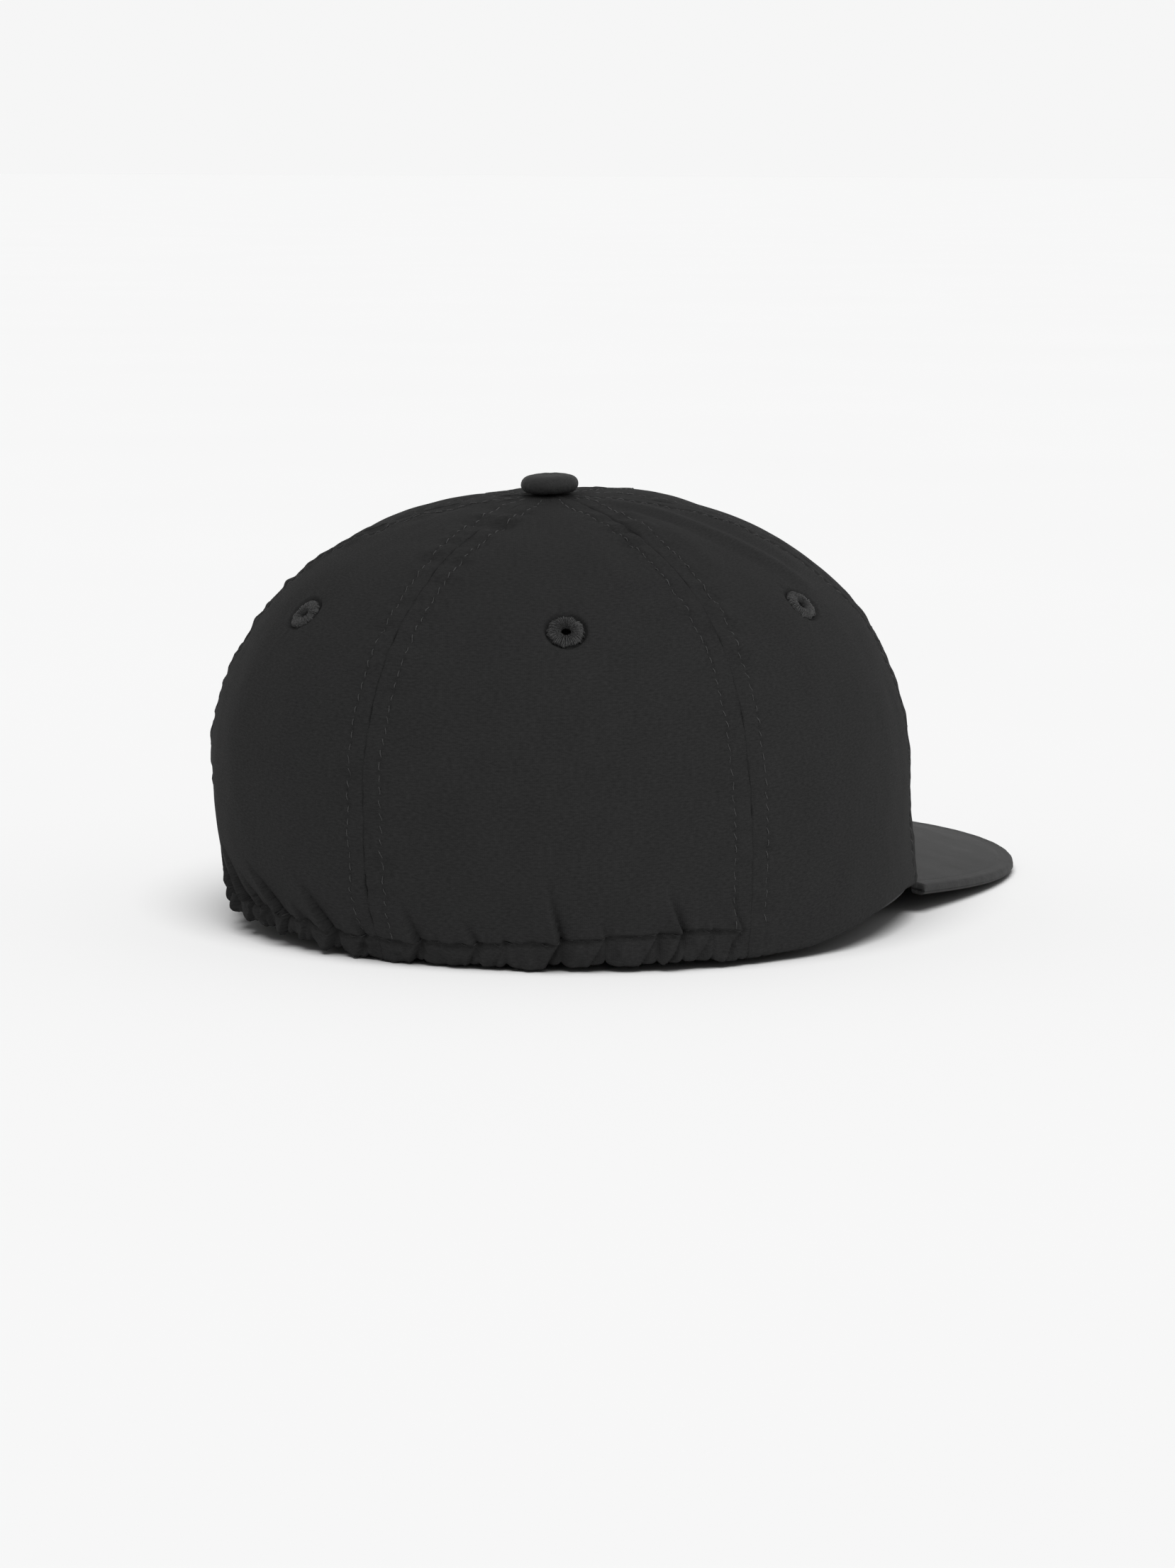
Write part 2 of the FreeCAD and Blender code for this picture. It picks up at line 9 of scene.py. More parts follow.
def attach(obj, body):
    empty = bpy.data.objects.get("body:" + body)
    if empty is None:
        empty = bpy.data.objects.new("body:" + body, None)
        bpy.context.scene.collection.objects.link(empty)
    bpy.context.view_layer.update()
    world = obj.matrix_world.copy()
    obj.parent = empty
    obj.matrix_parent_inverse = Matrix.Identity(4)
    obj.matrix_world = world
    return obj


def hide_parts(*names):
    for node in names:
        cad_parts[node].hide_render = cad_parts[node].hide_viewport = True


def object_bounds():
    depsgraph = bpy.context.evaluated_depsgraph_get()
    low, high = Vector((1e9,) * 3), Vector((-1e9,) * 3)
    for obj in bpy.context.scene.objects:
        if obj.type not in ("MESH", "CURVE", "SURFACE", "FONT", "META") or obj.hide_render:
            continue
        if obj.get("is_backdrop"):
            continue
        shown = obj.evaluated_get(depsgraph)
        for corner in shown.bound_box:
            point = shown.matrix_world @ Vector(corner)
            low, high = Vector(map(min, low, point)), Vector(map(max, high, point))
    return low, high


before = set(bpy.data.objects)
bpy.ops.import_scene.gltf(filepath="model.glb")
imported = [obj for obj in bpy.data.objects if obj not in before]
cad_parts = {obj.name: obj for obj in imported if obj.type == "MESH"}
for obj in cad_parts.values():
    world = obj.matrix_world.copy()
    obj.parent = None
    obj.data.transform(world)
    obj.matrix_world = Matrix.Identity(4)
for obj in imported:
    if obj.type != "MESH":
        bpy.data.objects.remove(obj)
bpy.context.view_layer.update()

# Sizes below are millimetres in the frame of the hem, whose plane is z = 0 with the crown's
# axis through the origin.  to_row() leans that frame back, as the cap stands, and gives metres.
# Azimuths are degrees round that axis: 0 is the front and 90 the right.
CROWN_FRONT = 106.5
CROWN_BACK = 86.5
CROWN_SIDE = 92.6
CROWN_HEIGHT = 109.5
SHOULDER = 28.0
PLAN_POWER = {"side": 2.07, "back": 1.86, "front": 2.22}
RISE_POWER = {"side": 2.49, "back": 2.96, "front": 2.16}
HEM_TUCK = {"side": 0.013, "back": 0.076, "front": -0.055}
FLARE_SPREAD = 1.3
HEM_RADIUS = 92.0           # mean radius at the hem, for laying cloth flat
LEAN = math.radians(3.41)
REAR_HEM = CROWN_BACK * (1 - HEM_TUCK["back"])
ROW_SHIFT_Y = 39.604        # from the hem frame's origin to the row frame's

INSERT_FRONT = 97.0
INSERT_BACK = 81.0
INSERT_SIDE = 83.5
INSERT_TOP = 104.7
INSERT_RIM = 38.0
INSERT_PLAN_POWER = 2.15
INSERT_RISE_POWER = 2.35
SHELL_THICKNESS = 2.2
PAD_THICKNESS = 5.0
PAD_GAP = 0.15

FRONT_SEAM = 59.0
REAR_SEAM = 118.0
SEWING_DRIFT = {"rear": 1.8, "right": -0.9}    # how far round two seams are sewn from true
SEAMS = [0.0, FRONT_SEAM, REAR_SEAM + SEWING_DRIFT["right"], 180.0 + SEWING_DRIFT["rear"],
         360.0 - REAR_SEAM, 360.0 - FRONT_SEAM]
SEAM_NAMES = ["front", "front_right", "rear_right", "rear", "rear_left", "front_left"]
PANELS = ["front_right", "side_right", "rear_right", "rear_left", "side_left", "front_left"]
SEAM_PUCKER = [0.35, 0.35, 1.0, 1.0, 1.0, 0.35]
SEAM_CREASE = [0.5, 0.5, 1.0, 0.35, 0.6, 0.5]
ROW_OFFSETS = [5.2, 5.2, 5.0, 4.6, 5.2, 5.2]   # from each seam to its stitch rows
ROW_MEET_RADIUS = 15.0      # inside this radius the rows draw in towards the button
STITCH = 2.4
STITCH_GAP = 0.7
THREAD_RADIUS = 0.16
CLOTH = 0.6
APEX_HOLE = 2.0
SLIP = 1.9                  # how far the crown has slipped at the button, and which way
SLIP_WAY = np.array([-0.856, -0.517, 0.0])
SLIP_HEIGHTS = (48.0, 82.0)
EYELETS = {"front": (30.0, 89.0), "side": (86.5, 89.0), "rear": (148.0, 89.0)}
EYELET_RADIUS = 4.95
EYELET_BORE = 1.4

PEAK_TEMPLE = 59.0
PEAK_FRONT = 167.7
PEAK_HALF_WIDTH = 82.8
PEAK_POWER = 2.90
PEAK_CURVE = 0.0012
PEAK_SLOPE = 0.144
PEAK_THICKNESS = 3.2
PEAK_INNER_DEPTH = 1.2

PROFILE_START = -14.0       # a dome's profile begins this far below the hem
PROFILE_STEPS = 220         # along each half of it
rng = np.random.default_rng(24)


# ---------------------------------------------------------------- formulas

def mix(values, azimuth, front_power=2.0):
    """Blend the side, back and front values of a quantity at one azimuth."""
    along = math.cos(azimuth)
    end = "front" if along > 0 else "back"
    share = abs(along) ** (front_power if along > 0 else 2.0)
    return values["side"] * (1 - share) + values[end] * share


def smooth(low, high, value):
    """Ease from 0 at low to 1 at high."""
    share = np.clip((value - low) / (high - low), 0.0, 1.0)
    return share * share * (3 - 2 * share)


def within(rise, fall, value):
    """Ease up to 1 over one interval and down to 0 over another."""
    return smooth(*rise, value) * (1 - smooth(*fall, value))


def bell(distance, width):
    """1 at no distance, fading to 0 over about twice the width."""
    return np.exp(-(distance / width) ** 2)


def round_edge(distance, radius):
    """Height, from 0 to 1, at a distance in from an edge that is rounded off."""
    return np.sqrt(np.clip(1 - (1 - np.clip(distance / radius, 0, 1)) ** 2, 0, 1))


def unit(vectors):
    return vectors / np.maximum(np.linalg.norm(vectors, axis=-1, keepdims=True), 1e-9)


def plan_radius(points):
    return np.hypot(points[..., 0], points[..., 1])


def run_length(points):
    """Length along a line of points, from 0 at the first."""
    return np.concatenate([[0], np.cumsum(np.linalg.norm(np.diff(points, axis=0), axis=1))])


def full_turn(count):
    return np.linspace(0, 2 * math.pi, count, endpoint=False)


# ---------------------------------------------------------------- surfaces

class Dome:
    """A dome over an egg-shaped plan, sampled by azimuth and by height along its surface."""

    def __init__(self, front, back, side, top, shoulder, plan, rise, tuck):
        self.front, self.back, self.side = front, back, side
        self.top, self.shoulder = top, shoulder
        self.plan, self.rise, self.tuck = plan, rise, tuck
        self.azimuths = np.arange(-30.0, 390.5, 1.0)
        self.table = [self.profile(math.radians(a)) for a in self.azimuths]

    def profile(self, azimuth):
        """Plan direction, and radius and height against arc height above z = 0."""
        reach_y = self.front if math.cos(azimuth) > 0 else self.back
        plan = np.array([-self.side * math.sin(azimuth), -reach_y * math.cos(azimuth)])
        reach = np.hypot(*plan)
        z_low = np.linspace(PROFILE_START, self.shoulder, PROFILE_STEPS, endpoint=False)
        drop = (self.shoulder - z_low) / self.shoulder
        r_low = reach * (1 - mix(self.tuck, azimuth, FLARE_SPREAD) * drop ** 2)
        angle = math.pi / 2 * np.linspace(0, 1, PROFILE_STEPS + 1) ** 1.6
        r_high = reach * np.maximum(np.cos(angle), 0) ** (2 / mix(self.plan, azimuth))
        rise = np.sin(angle) ** (2 / mix(self.rise, azimuth))
        radius = np.concatenate([r_low, r_high])
        z = np.concatenate([z_low, self.shoulder + (self.top - self.shoulder) * rise])
        arc = run_length(np.stack([radius, z], -1))
        arc -= np.interp(0.0, z[:PROFILE_STEPS], arc[:PROFILE_STEPS])
        return {"plan": plan / reach, "arc": arc, "radius": radius, "z": z}

    def one(self, index, arc):
        row = self.table[index]
        radius = np.interp(arc, row["arc"], row["radius"])
        z = np.interp(arc, row["arc"], row["z"])
        return np.stack([radius * row["plan"][0], radius * row["plan"][1], z], -1)

    def points(self, azimuth, arc):
        """Points at arrays of azimuth (degrees) and arc height (mm)."""
        azimuth, arc = np.broadcast_arrays(np.asarray(azimuth, float), np.asarray(arc, float))
        place = azimuth - self.azimuths[0]
        index = np.clip(np.floor(place).astype(int), 0, len(self.azimuths) - 2)
        share = (place - index)[..., None]
        low = np.zeros(azimuth.shape + (3,))
        high = np.zeros(azimuth.shape + (3,))
        for k in np.unique(index):
            here = index == k
            low[here] = self.one(k, arc[here])
            high[here] = self.one(k + 1, arc[here])
        return low * (1 - share) + high * share

    def normals(self, azimuth, arc):
        """Outward normals, straight up where the dome is too sharp to have one."""
        turn_step, arc_step = 0.7, 0.5
        across = self.points(azimuth + turn_step, arc) - self.points(azimuth - turn_step, arc)
        along = self.points(azimuth, arc + arc_step) - self.points(azimuth, arc - arc_step)
        normal = np.cross(along, across)
        length = np.linalg.norm(normal, axis=-1, keepdims=True)
        normal = np.where(length > 1e-7, unit(normal), np.array([0.0, 0.0, 1.0]))
        outward = (normal * (self.points(azimuth, arc) * [1, 1, 0.3])).sum(-1, keepdims=True)
        return np.where(outward < 0, -normal, normal)

    def arc_at_radius(self, azimuth, radius):
        """Arc height where the dome has drawn in to a radius near its apex."""
        row = self.table[int(round(azimuth - self.azimuths[0]))]
        top = slice(PROFILE_STEPS, None)
        return float(np.interp(-radius, -row["radius"][top], row["arc"][top]))

    def arc_at_height(self, azimuth, z):
        row = self.table[int(round(azimuth - self.azimuths[0]))]
        return float(np.interp(z, row["z"], row["arc"]))


def to_row(points):
    """Hem-frame millimetres to the row frame's metres."""
    x, y, z = np.moveaxis(np.asarray(points, float), -1, 0)
    y = y - REAR_HEM
    leaned_y = REAR_HEM + y * math.cos(LEAN) + z * math.sin(LEAN) + ROW_SHIFT_Y
    return np.stack([x, leaned_y, -y * math.sin(LEAN) + z * math.cos(LEAN)], -1) * 0.001


CROWN = Dome(CROWN_FRONT, CROWN_BACK, CROWN_SIDE, CROWN_HEIGHT, SHOULDER,
             PLAN_POWER, RISE_POWER, HEM_TUCK)
INSERT = Dome(INSERT_FRONT, INSERT_BACK, INSERT_SIDE, INSERT_TOP, INSERT_RIM,
              dict.fromkeys(PLAN_POWER, INSERT_PLAN_POWER),
              dict.fromkeys(RISE_POWER, INSERT_RISE_POWER), dict.fromkeys(HEM_TUCK, 0.0))


# ---------------------------------------------------------------- relief of the cloth

# creases of the gathered hem: azimuth, height they reach, depth, and lean in degrees per mm
CREASES = [
    (118.8, 20, 1.1, 0.25), (124.0, 12, 0.5, 0.10), (129.3, 22, 1.5, 0.25), (133.5, 10, 0.7, 0.00),
    (142.3, 14, 0.8, 0.15), (149.7, 26, 1.7, 0.12), (159.0, 11, 0.6, 0.10), (163.6, 15, 1.0, 0.30),
    (173.9, 20, 1.3, 0.20), (184.8, 13, 0.8, 0.20), (191.0, 22, 1.6, 0.45), (197.0, 13, 0.7, 0.50),
    (202.0, 21, 1.7, 0.75), (208.5, 17, 0.9, 0.80), (214.0, 22, 1.5, 0.70), (220.5, 19, 1.1, 0.80),
    (227.0, 17, 0.9, 0.60), (234.5, 22, 1.0, 0.30), (241.0, 16, 0.8, 0.20),
]
GATHERS = (REAR_SEAM, 360.0 - REAR_SEAM)
LOBE_HEIGHT = 1.5
SCALLOP = 1.5
SCALLOP_REACH = 9.0
# where the whole hem is drawn up, or down: how far, and azimuths where it begins and ends
HEM_LIFTS = [
    (3.0, (184.0, 204.0), (262.0, 290.0)), (1.0, (210.0, 235.0), (262.0, 290.0)),
    (2.7, (58.0, 72.0), (78.0, 98.0)), (-1.4, (94.0, 104.0), (118.0, 128.0)),
]
HEM_LIFT_REACH = 32.0

# soft folds that run up a panel: azimuth and arc height of each end, width, height
SOFT_FOLDS = [
    (77.5, 93.0, 84.0, 152.0, 3.2, 0.9), (101.0, 106.0, 101.0, 146.0, 5.0, 0.5),
    (70.0, 96.0, 66.0, 140.0, 5.0, 0.45), (160.0, 112.0, 164.0, 150.0, 6.0, 0.35),
    (214.0, 30.0, 222.0, 96.0, 9.0, 0.5), (132.0, 104.0, 140.0, 146.0, 6.0, 0.35),
    (262.0, 96.0, 272.0, 148.0, 4.5, 0.7), (290.0, 100.0, 284.0, 146.0, 5.5, 0.5),
    (22.0, 96.0, 14.0, 150.0, 6.0, 0.4), (335.0, 92.0, 344.0, 150.0, 5.0, 0.5),
]
# broad rises and dips: azimuth, arc height, reach, height
SWELLS = [
    (205.0, 128.0, 20.0, -1.0), (232.0, 94.0, 18.0, 0.8), (84.0, 60.0, 20.0, 0.4),
    (150.0, 45.0, 22.0, 0.35), (182.0, 84.0, 9.0, 0.25), (240.0, 8.0, 21.0, -2.9),
]
SEAM_DOUBLED = 0.24         # heights and depths of what sewing does to the cloth
SEAM_DEPTH = 0.42
STITCH_DENT = 0.40
PUCKER_HEIGHT = {"seam": 0.33, "channel": 0.50, "above": 0.26}
HEM_PINCH = 1.25
HEM_ROLL = 0.7
CREASE_LIP = 2.2
CREASE_VALLEY = 1.2
EYELET_PINCH = 1.15
EYELET_SINK = 0.25
EYELET_PULL = {"front": 0.6, "side": 1.0, "rear": 0.35}
EYELET_WRINKLES = 13
PULL_WAY = math.radians(125)    # the way that most wrinkles run from an eyelet
RIPPLE_WAVES = 26


class Ripple:
    """A smooth random field over space, about 1 in size."""

    def __init__(self, wavelength):
        heading = rng.normal(size=(RIPPLE_WAVES, 3))
        heading /= np.linalg.norm(heading, axis=1, keepdims=True)
        length = wavelength * rng.uniform(0.7, 1.7, (RIPPLE_WAVES, 1))
        self.wave = heading * 2 * math.pi / length
        self.phase = rng.uniform(0, 2 * math.pi, RIPPLE_WAVES)

    def __call__(self, points):
        total = np.zeros(points.shape[:-1])
        for wave, phase in zip(self.wave, self.phase):
            total += np.cos(points @ wave + phase)
        return total * math.sqrt(2 / RIPPLE_WAVES)


BROAD = Ripple(75.0)
MIDDLE = Ripple(26.0)
PUCKER = Ripple(4.6)
SMALL = Ripple(9.0)


def waves(points):
    """Long and middling waves of the whole crown's cloth."""
    return 0.30 * BROAD(points) + 0.15 * MIDDLE(points)


def seam_place(azimuth, radius):
    """Distance in mm across to the nearest seam, and that seam's number."""
    gaps = (azimuth[..., None] - np.array(SEAMS) + 180.0) % 360.0 - 180.0
    nearest = np.abs(gaps).argmin(-1)
    gap = np.take_along_axis(gaps, nearest[..., None], -1)[..., 0]
    return np.radians(gap) * radius, nearest


def row_offset(radius, number):
    return np.array(ROW_OFFSETS)[number] * np.minimum(radius / ROW_MEET_RADIUS, 1.0)


def is_rear(azimuth):
    """Whether a place is on the two rear panels or at their seams."""
    return SEAMS[2] <= azimuth <= SEAMS[4]


def eyelet_places():
    """Panel, side (1 on the right, -1 on the left), azimuth and arc height of each eyelet."""
    for panel, (azimuth, arc) in EYELETS.items():
        for side in (1, -1):
            yield panel, side, side * azimuth % 360.0, arc


def hem_row(azimuth):
    """Arc height of the stitch row above the elastic, which runs lower across the back."""
    return 8.1 - 1.7 * smooth(135.0, 172.0, azimuth)


def gathering(azimuth):
    """1 inside the elasticated part of the hem, easing to 0 at its ends."""
    start, end = GATHERS
    return within((start - 1.5, start + 2.0), (end - 2.0, end + 1.5), azimuth)


def lobes(azimuth):
    """How full the channel is between its creases: 0 at a crease, 1 between two."""
    places = np.array([GATHERS[0] - 6.0] + [crease[0] for crease in CREASES] + [GATHERS[1] + 7.0])
    index = np.clip(np.searchsorted(places, azimuth) - 1, 0, len(places) - 2)
    share = (azimuth - places[index]) / (places[index + 1] - places[index])
    share = np.clip(share, 0.0, 1.0)
    return (4 * share * (1 - share)) ** 0.5


def hem_lift(azimuth, arc):
    """How far the hem is drawn up, in mm of arc height: by gathers, and as a whole in places."""
    scallop = SCALLOP * (1 - lobes(azimuth)) ** 1.5 * gathering(azimuth)
    lift = sum(size * within(rise, fall, azimuth) for size, rise, fall in HEM_LIFTS)
    return (scallop * (1 - smooth(0.0, SCALLOP_REACH, arc))
            + lift * (1 - smooth(0.0, HEM_LIFT_REACH, arc)))


def crease_lines(azimuth, arc, radius, row):
    """Sharp valleys with a ridge beside them, from the hem up past the stitch row."""
    relief = np.zeros(np.shape(azimuth))
    for place, top, depth, lean in CREASES:
        line = place + lean * np.maximum(arc - row, 0.0) - 0.35 * np.minimum(arc - row, 0.0)
        across = np.radians(azimuth - line) * radius
        above = np.clip((arc - row) / (top - row), 0.0, 1.0)
        widen = 1.0 + 1.4 * above
        over = np.maximum(across, 0.0) / widen
        under = np.maximum(-across, 0.0) / widen
        lip = CREASE_LIP * np.exp(-over / 2.6) * (1 - np.exp(-over / 0.22)) * (across > 0)
        valley = np.where(across > 0, np.exp(-over / 0.15), np.exp(-under / 1.1))
        share = np.clip((arc - row + 0.6) / 1.2, 0.0, 1.0)
        shape = lip * (share + 0.3 * (1 - share)) - CREASE_VALLEY * valley
        relief += depth * (1 - above) ** 1.2 * shape
    return relief


def gather_relief(azimuth, arc, radius, points):
    """Lobes of the elastic channel, the pinch at its stitches and the folds above them."""
    row = hem_row(azimuth)
    inside = np.clip(arc / row, 0.0, 1.0)
    channel = np.sin(math.pi * np.clip(0.14 + 0.86 * inside, 0, 1)) ** 0.6 * (arc < row)
    near = bell(np.maximum(arc - row, 0.0), 3.0) * (arc >= row)
    relief = LOBE_HEIGHT * (lobes(azimuth) - 0.55) * channel
    relief += PUCKER_HEIGHT["channel"] * PUCKER(points * [1, 1, 0.45]) * channel
    relief += PUCKER_HEIGHT["above"] * PUCKER(points * [1.2, 1.2, 0.25]) * near
    relief -= HEM_PINCH * bell(arc - row, 0.6)
    return (relief + crease_lines(azimuth, arc, radius, row)) * gathering(azimuth)


def seam_relief(azimuth, arc, radius):
    """Crease, doubled cloth and puckers along every seam."""
    across, number = seam_place(azimuth, radius)
    offset = row_offset(radius, number)
    distance = np.abs(across)
    place = np.stack([arc, across * 0.2, number * 40.0 + np.sign(across) * 9.0], -1)
    slow = MIDDLE(np.stack([arc * 0.5, number * 31.0, np.zeros(arc.shape)], -1))
    open_seam = np.array(SEAM_CREASE)[number] * np.clip(0.55 + 0.45 * slow, 0.15, 1.2)
    holes = 1 + 0.6 * np.cos(2 * math.pi * arc / (STITCH + STITCH_GAP) + 5.0 * slow)
    full = bell(distance - offset * 0.6, 3.0) + 0.55 * bell(distance - offset - 1.8, 2.0)
    relief = SEAM_DOUBLED * (1 - smooth(offset, offset + 1.2, distance))
    relief -= SEAM_DEPTH * open_seam * bell(distance, 0.55)
    relief -= STITCH_DENT * bell(distance - offset, 0.6) * holes
    firm = PUCKER_HEIGHT["seam"] * np.array(SEAM_PUCKER)[number]
    relief += firm * PUCKER(place) * full
    return relief * np.clip(radius / 30.0, 0.25, 1.0)


def eyelet_relief(azimuth, arc, radius):
    """Pinched ring and pulled wrinkles round every eyelet."""
    relief = np.zeros(np.shape(azimuth))
    draw = np.random.default_rng(7)
    for panel, side, middle, height in eyelet_places():
        x = np.radians(azimuth - middle) * radius
        y = arc - height
        distance = np.hypot(x, y)
        turn = np.arctan2(y, x)
        relief -= EYELET_PINCH * bell(distance - EYELET_RADIUS + 0.15, 0.5)
        relief -= EYELET_SINK * (distance < EYELET_RADIUS)
        reach = np.exp(-np.maximum(distance - EYELET_RADIUS, 0) / 5.5)
        beyond = reach * (distance > EYELET_RADIUS - 0.5)
        for k in range(EYELET_WRINKLES):
            angle = 2 * math.pi * (k + draw.uniform(-0.3, 0.3)) / EYELET_WRINKLES
            width = draw.uniform(0.09, 0.16)
            size = draw.uniform(-0.12, 0.28)
            pull = abs(math.cos(angle - side * PULL_WAY)) ** 3
            size += EYELET_PULL[panel] * 0.42 * pull * draw.uniform(0.4, 1.0)
            gap = np.angle(np.exp(1j * (turn - angle)))
            relief += size * beyond * bell(gap, width)
    return relief


def fold_relief(azimuth, arc, radius):
    """Soft folds that run up some panels, each a ridge with a shallow valley beside it."""
    relief = np.zeros(np.shape(azimuth))
    for az_0, arc_0, az_1, arc_1, width, height in SOFT_FOLDS:
        along = (arc - arc_0) / (arc_1 - arc_0)
        line = az_0 + (az_1 - az_0) * np.clip(along, 0.0, 1.0)
        across = np.radians(azimuth - line) * radius
        ridge = bell(across, width) - 0.45 * bell(across - 1.9 * width, width)
        relief += height * within((-0.12, 0.2), (0.8, 1.08), along) * ridge
    return relief


def swell_relief(azimuth, arc, radius):
    """Broad rises and dips of the whole crown, which the sweatband follows too."""
    relief = np.zeros(np.shape(arc))
    for place, height, reach, size in SWELLS:
        across = np.radians(azimuth - place) * radius
        relief += size * bell(np.hypot(across, arc - height), reach)
    return relief


def crown_relief(azimuth, arc, points):
    """How far the outer cloth stands out from the even crown, in mm."""
    radius = np.maximum(plan_radius(points), 0.5)
    relief = (waves(points) + 0.03 * SMALL(points)) * np.clip(radius / 25.0, 0.15, 1.0)
    relief += gather_relief(azimuth, arc, radius, points)
    for part in (seam_relief, eyelet_relief, fold_relief, swell_relief):
        relief += part(azimuth, arc, radius)
    return relief - HEM_ROLL * np.clip(1 - arc / 1.3, 0.0, 1.0) ** 2


def crown_frame(azimuth, arc):
    """Points and normals of the even crown, whose upper part has slipped sideways along itself."""
    points = CROWN.points(azimuth, arc)
    normals = CROWN.normals(azimuth, arc)
    along = SLIP_WAY - normals * (normals @ SLIP_WAY)[..., None]
    return points + along * (SLIP * smooth(*SLIP_HEIGHTS, points[..., 2]))[..., None], normals


def cloth_points(azimuth, arc, depth=0.0, share=1.0):
    """Points on the crown's cloth at a depth below its outer face, in hem-frame mm."""
    even, normals = crown_frame(azimuth, arc + hem_lift(azimuth, arc))
    relief = crown_relief(azimuth, arc, even) * share
    return even + normals * (relief - depth)[..., None]


# ---------------------------------------------------------------- mesh building

def add_object(name, data):
    thing = bpy.data.objects.new(name, data)
    bpy.context.scene.collection.objects.link(thing)
    return thing


def make_object(name, points, faces, material, uv=None):
    """Smooth mesh object from hem-frame points in mm, with its normals facing out."""
    mesh = bpy.data.meshes.new(name)
    mesh.from_pydata(to_row(points).reshape(-1, 3).tolist(), [], faces)
    mesh.validate()
    work = bmesh.new()
    work.from_mesh(mesh)
    bmesh.ops.recalc_face_normals(work, faces=work.faces)
    work.to_mesh(mesh)
    work.free()
    mesh.polygons.foreach_set("use_smooth", [True] * len(mesh.polygons))
    if uv is not None:
        layer = mesh.uv_layers.new(name="UVMap")
        loops = np.empty(len(mesh.loops), int)
        mesh.loops.foreach_get("vertex_index", loops)
        layer.data.foreach_set("uv", uv[loops].ravel())
    mesh.materials.append(material)
    return add_object(name, mesh)


def closed_sheet(name, outer, inner, material, uv=None, keep=None):
    """Thin closed piece from two matching grids of points in mm, walled at every edge."""
    rows, columns = outer.shape[:2]
    if keep is None:
        keep = np.ones((rows - 1, columns - 1), bool)
    count = rows * columns
    framed = np.pad(keep, 1)
    cells = np.argwhere(keep).tolist()
    quads = []
    for i, j in cells:
        a = i * columns + j
        quads.append((a, a + 1, a + columns + 1, a + columns))
    faces = quads + [tuple(v + count for v in quad[::-1]) for quad in quads]
    for (i, j), quad in zip(cells, quads):
        beside = framed[i, j + 1], framed[i + 1, j + 2], framed[i + 2, j + 1], framed[i + 1, j]
        for p, q, joined in zip(quad, quad[1:] + quad[:1], beside):
            if not joined:
                faces.append((q, p, p + count, q + count))
    used = sorted({v for face in faces for v in face})
    renumber = {v: k for k, v in enumerate(used)}
    faces = [tuple(renumber[v] for v in face) for face in faces]
    points = np.concatenate([outer.reshape(-1, 3), inner.reshape(-1, 3)])[used]
    if uv is not None:
        uv = np.tile(uv.reshape(-1, 2), (2, 1))[used]
    return make_object(name, points, faces, material, uv)


def loop_solid(name, rings, material, closed_rows=True):
    """Closed skin through matching rings of points in mm: the last ring joins the first, or else
    both are capped."""
    rows, columns = rings.shape[:2]
    faces = []
    for i in range(rows if closed_rows else rows - 1):
        a, b = i * columns, (i + 1) % rows * columns
        for j in range(columns):
            k = (j + 1) % columns
            faces.append((a + j, a + k, b + k, b + j))
    if not closed_rows:
        faces.append(tuple(range(columns))[::-1])
        faces.append(tuple((rows - 1) * columns + j for j in range(columns)))
    return make_object(name, rings, faces, material)


def fit_to(thing, body, slot, *nodes):
    """Ride a piece on its body and hide the CAD nodes that it stands for."""
    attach(thing, body)
    if nodes:
        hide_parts(*nodes)
    return thing


def flat_place(azimuth, arc, radius):
    """Where each point lies on its cloth laid flat, in metres."""
    return np.stack([np.radians(azimuth) * radius, arc], -1) * 0.001


# ---------------------------------------------------------------- finishes

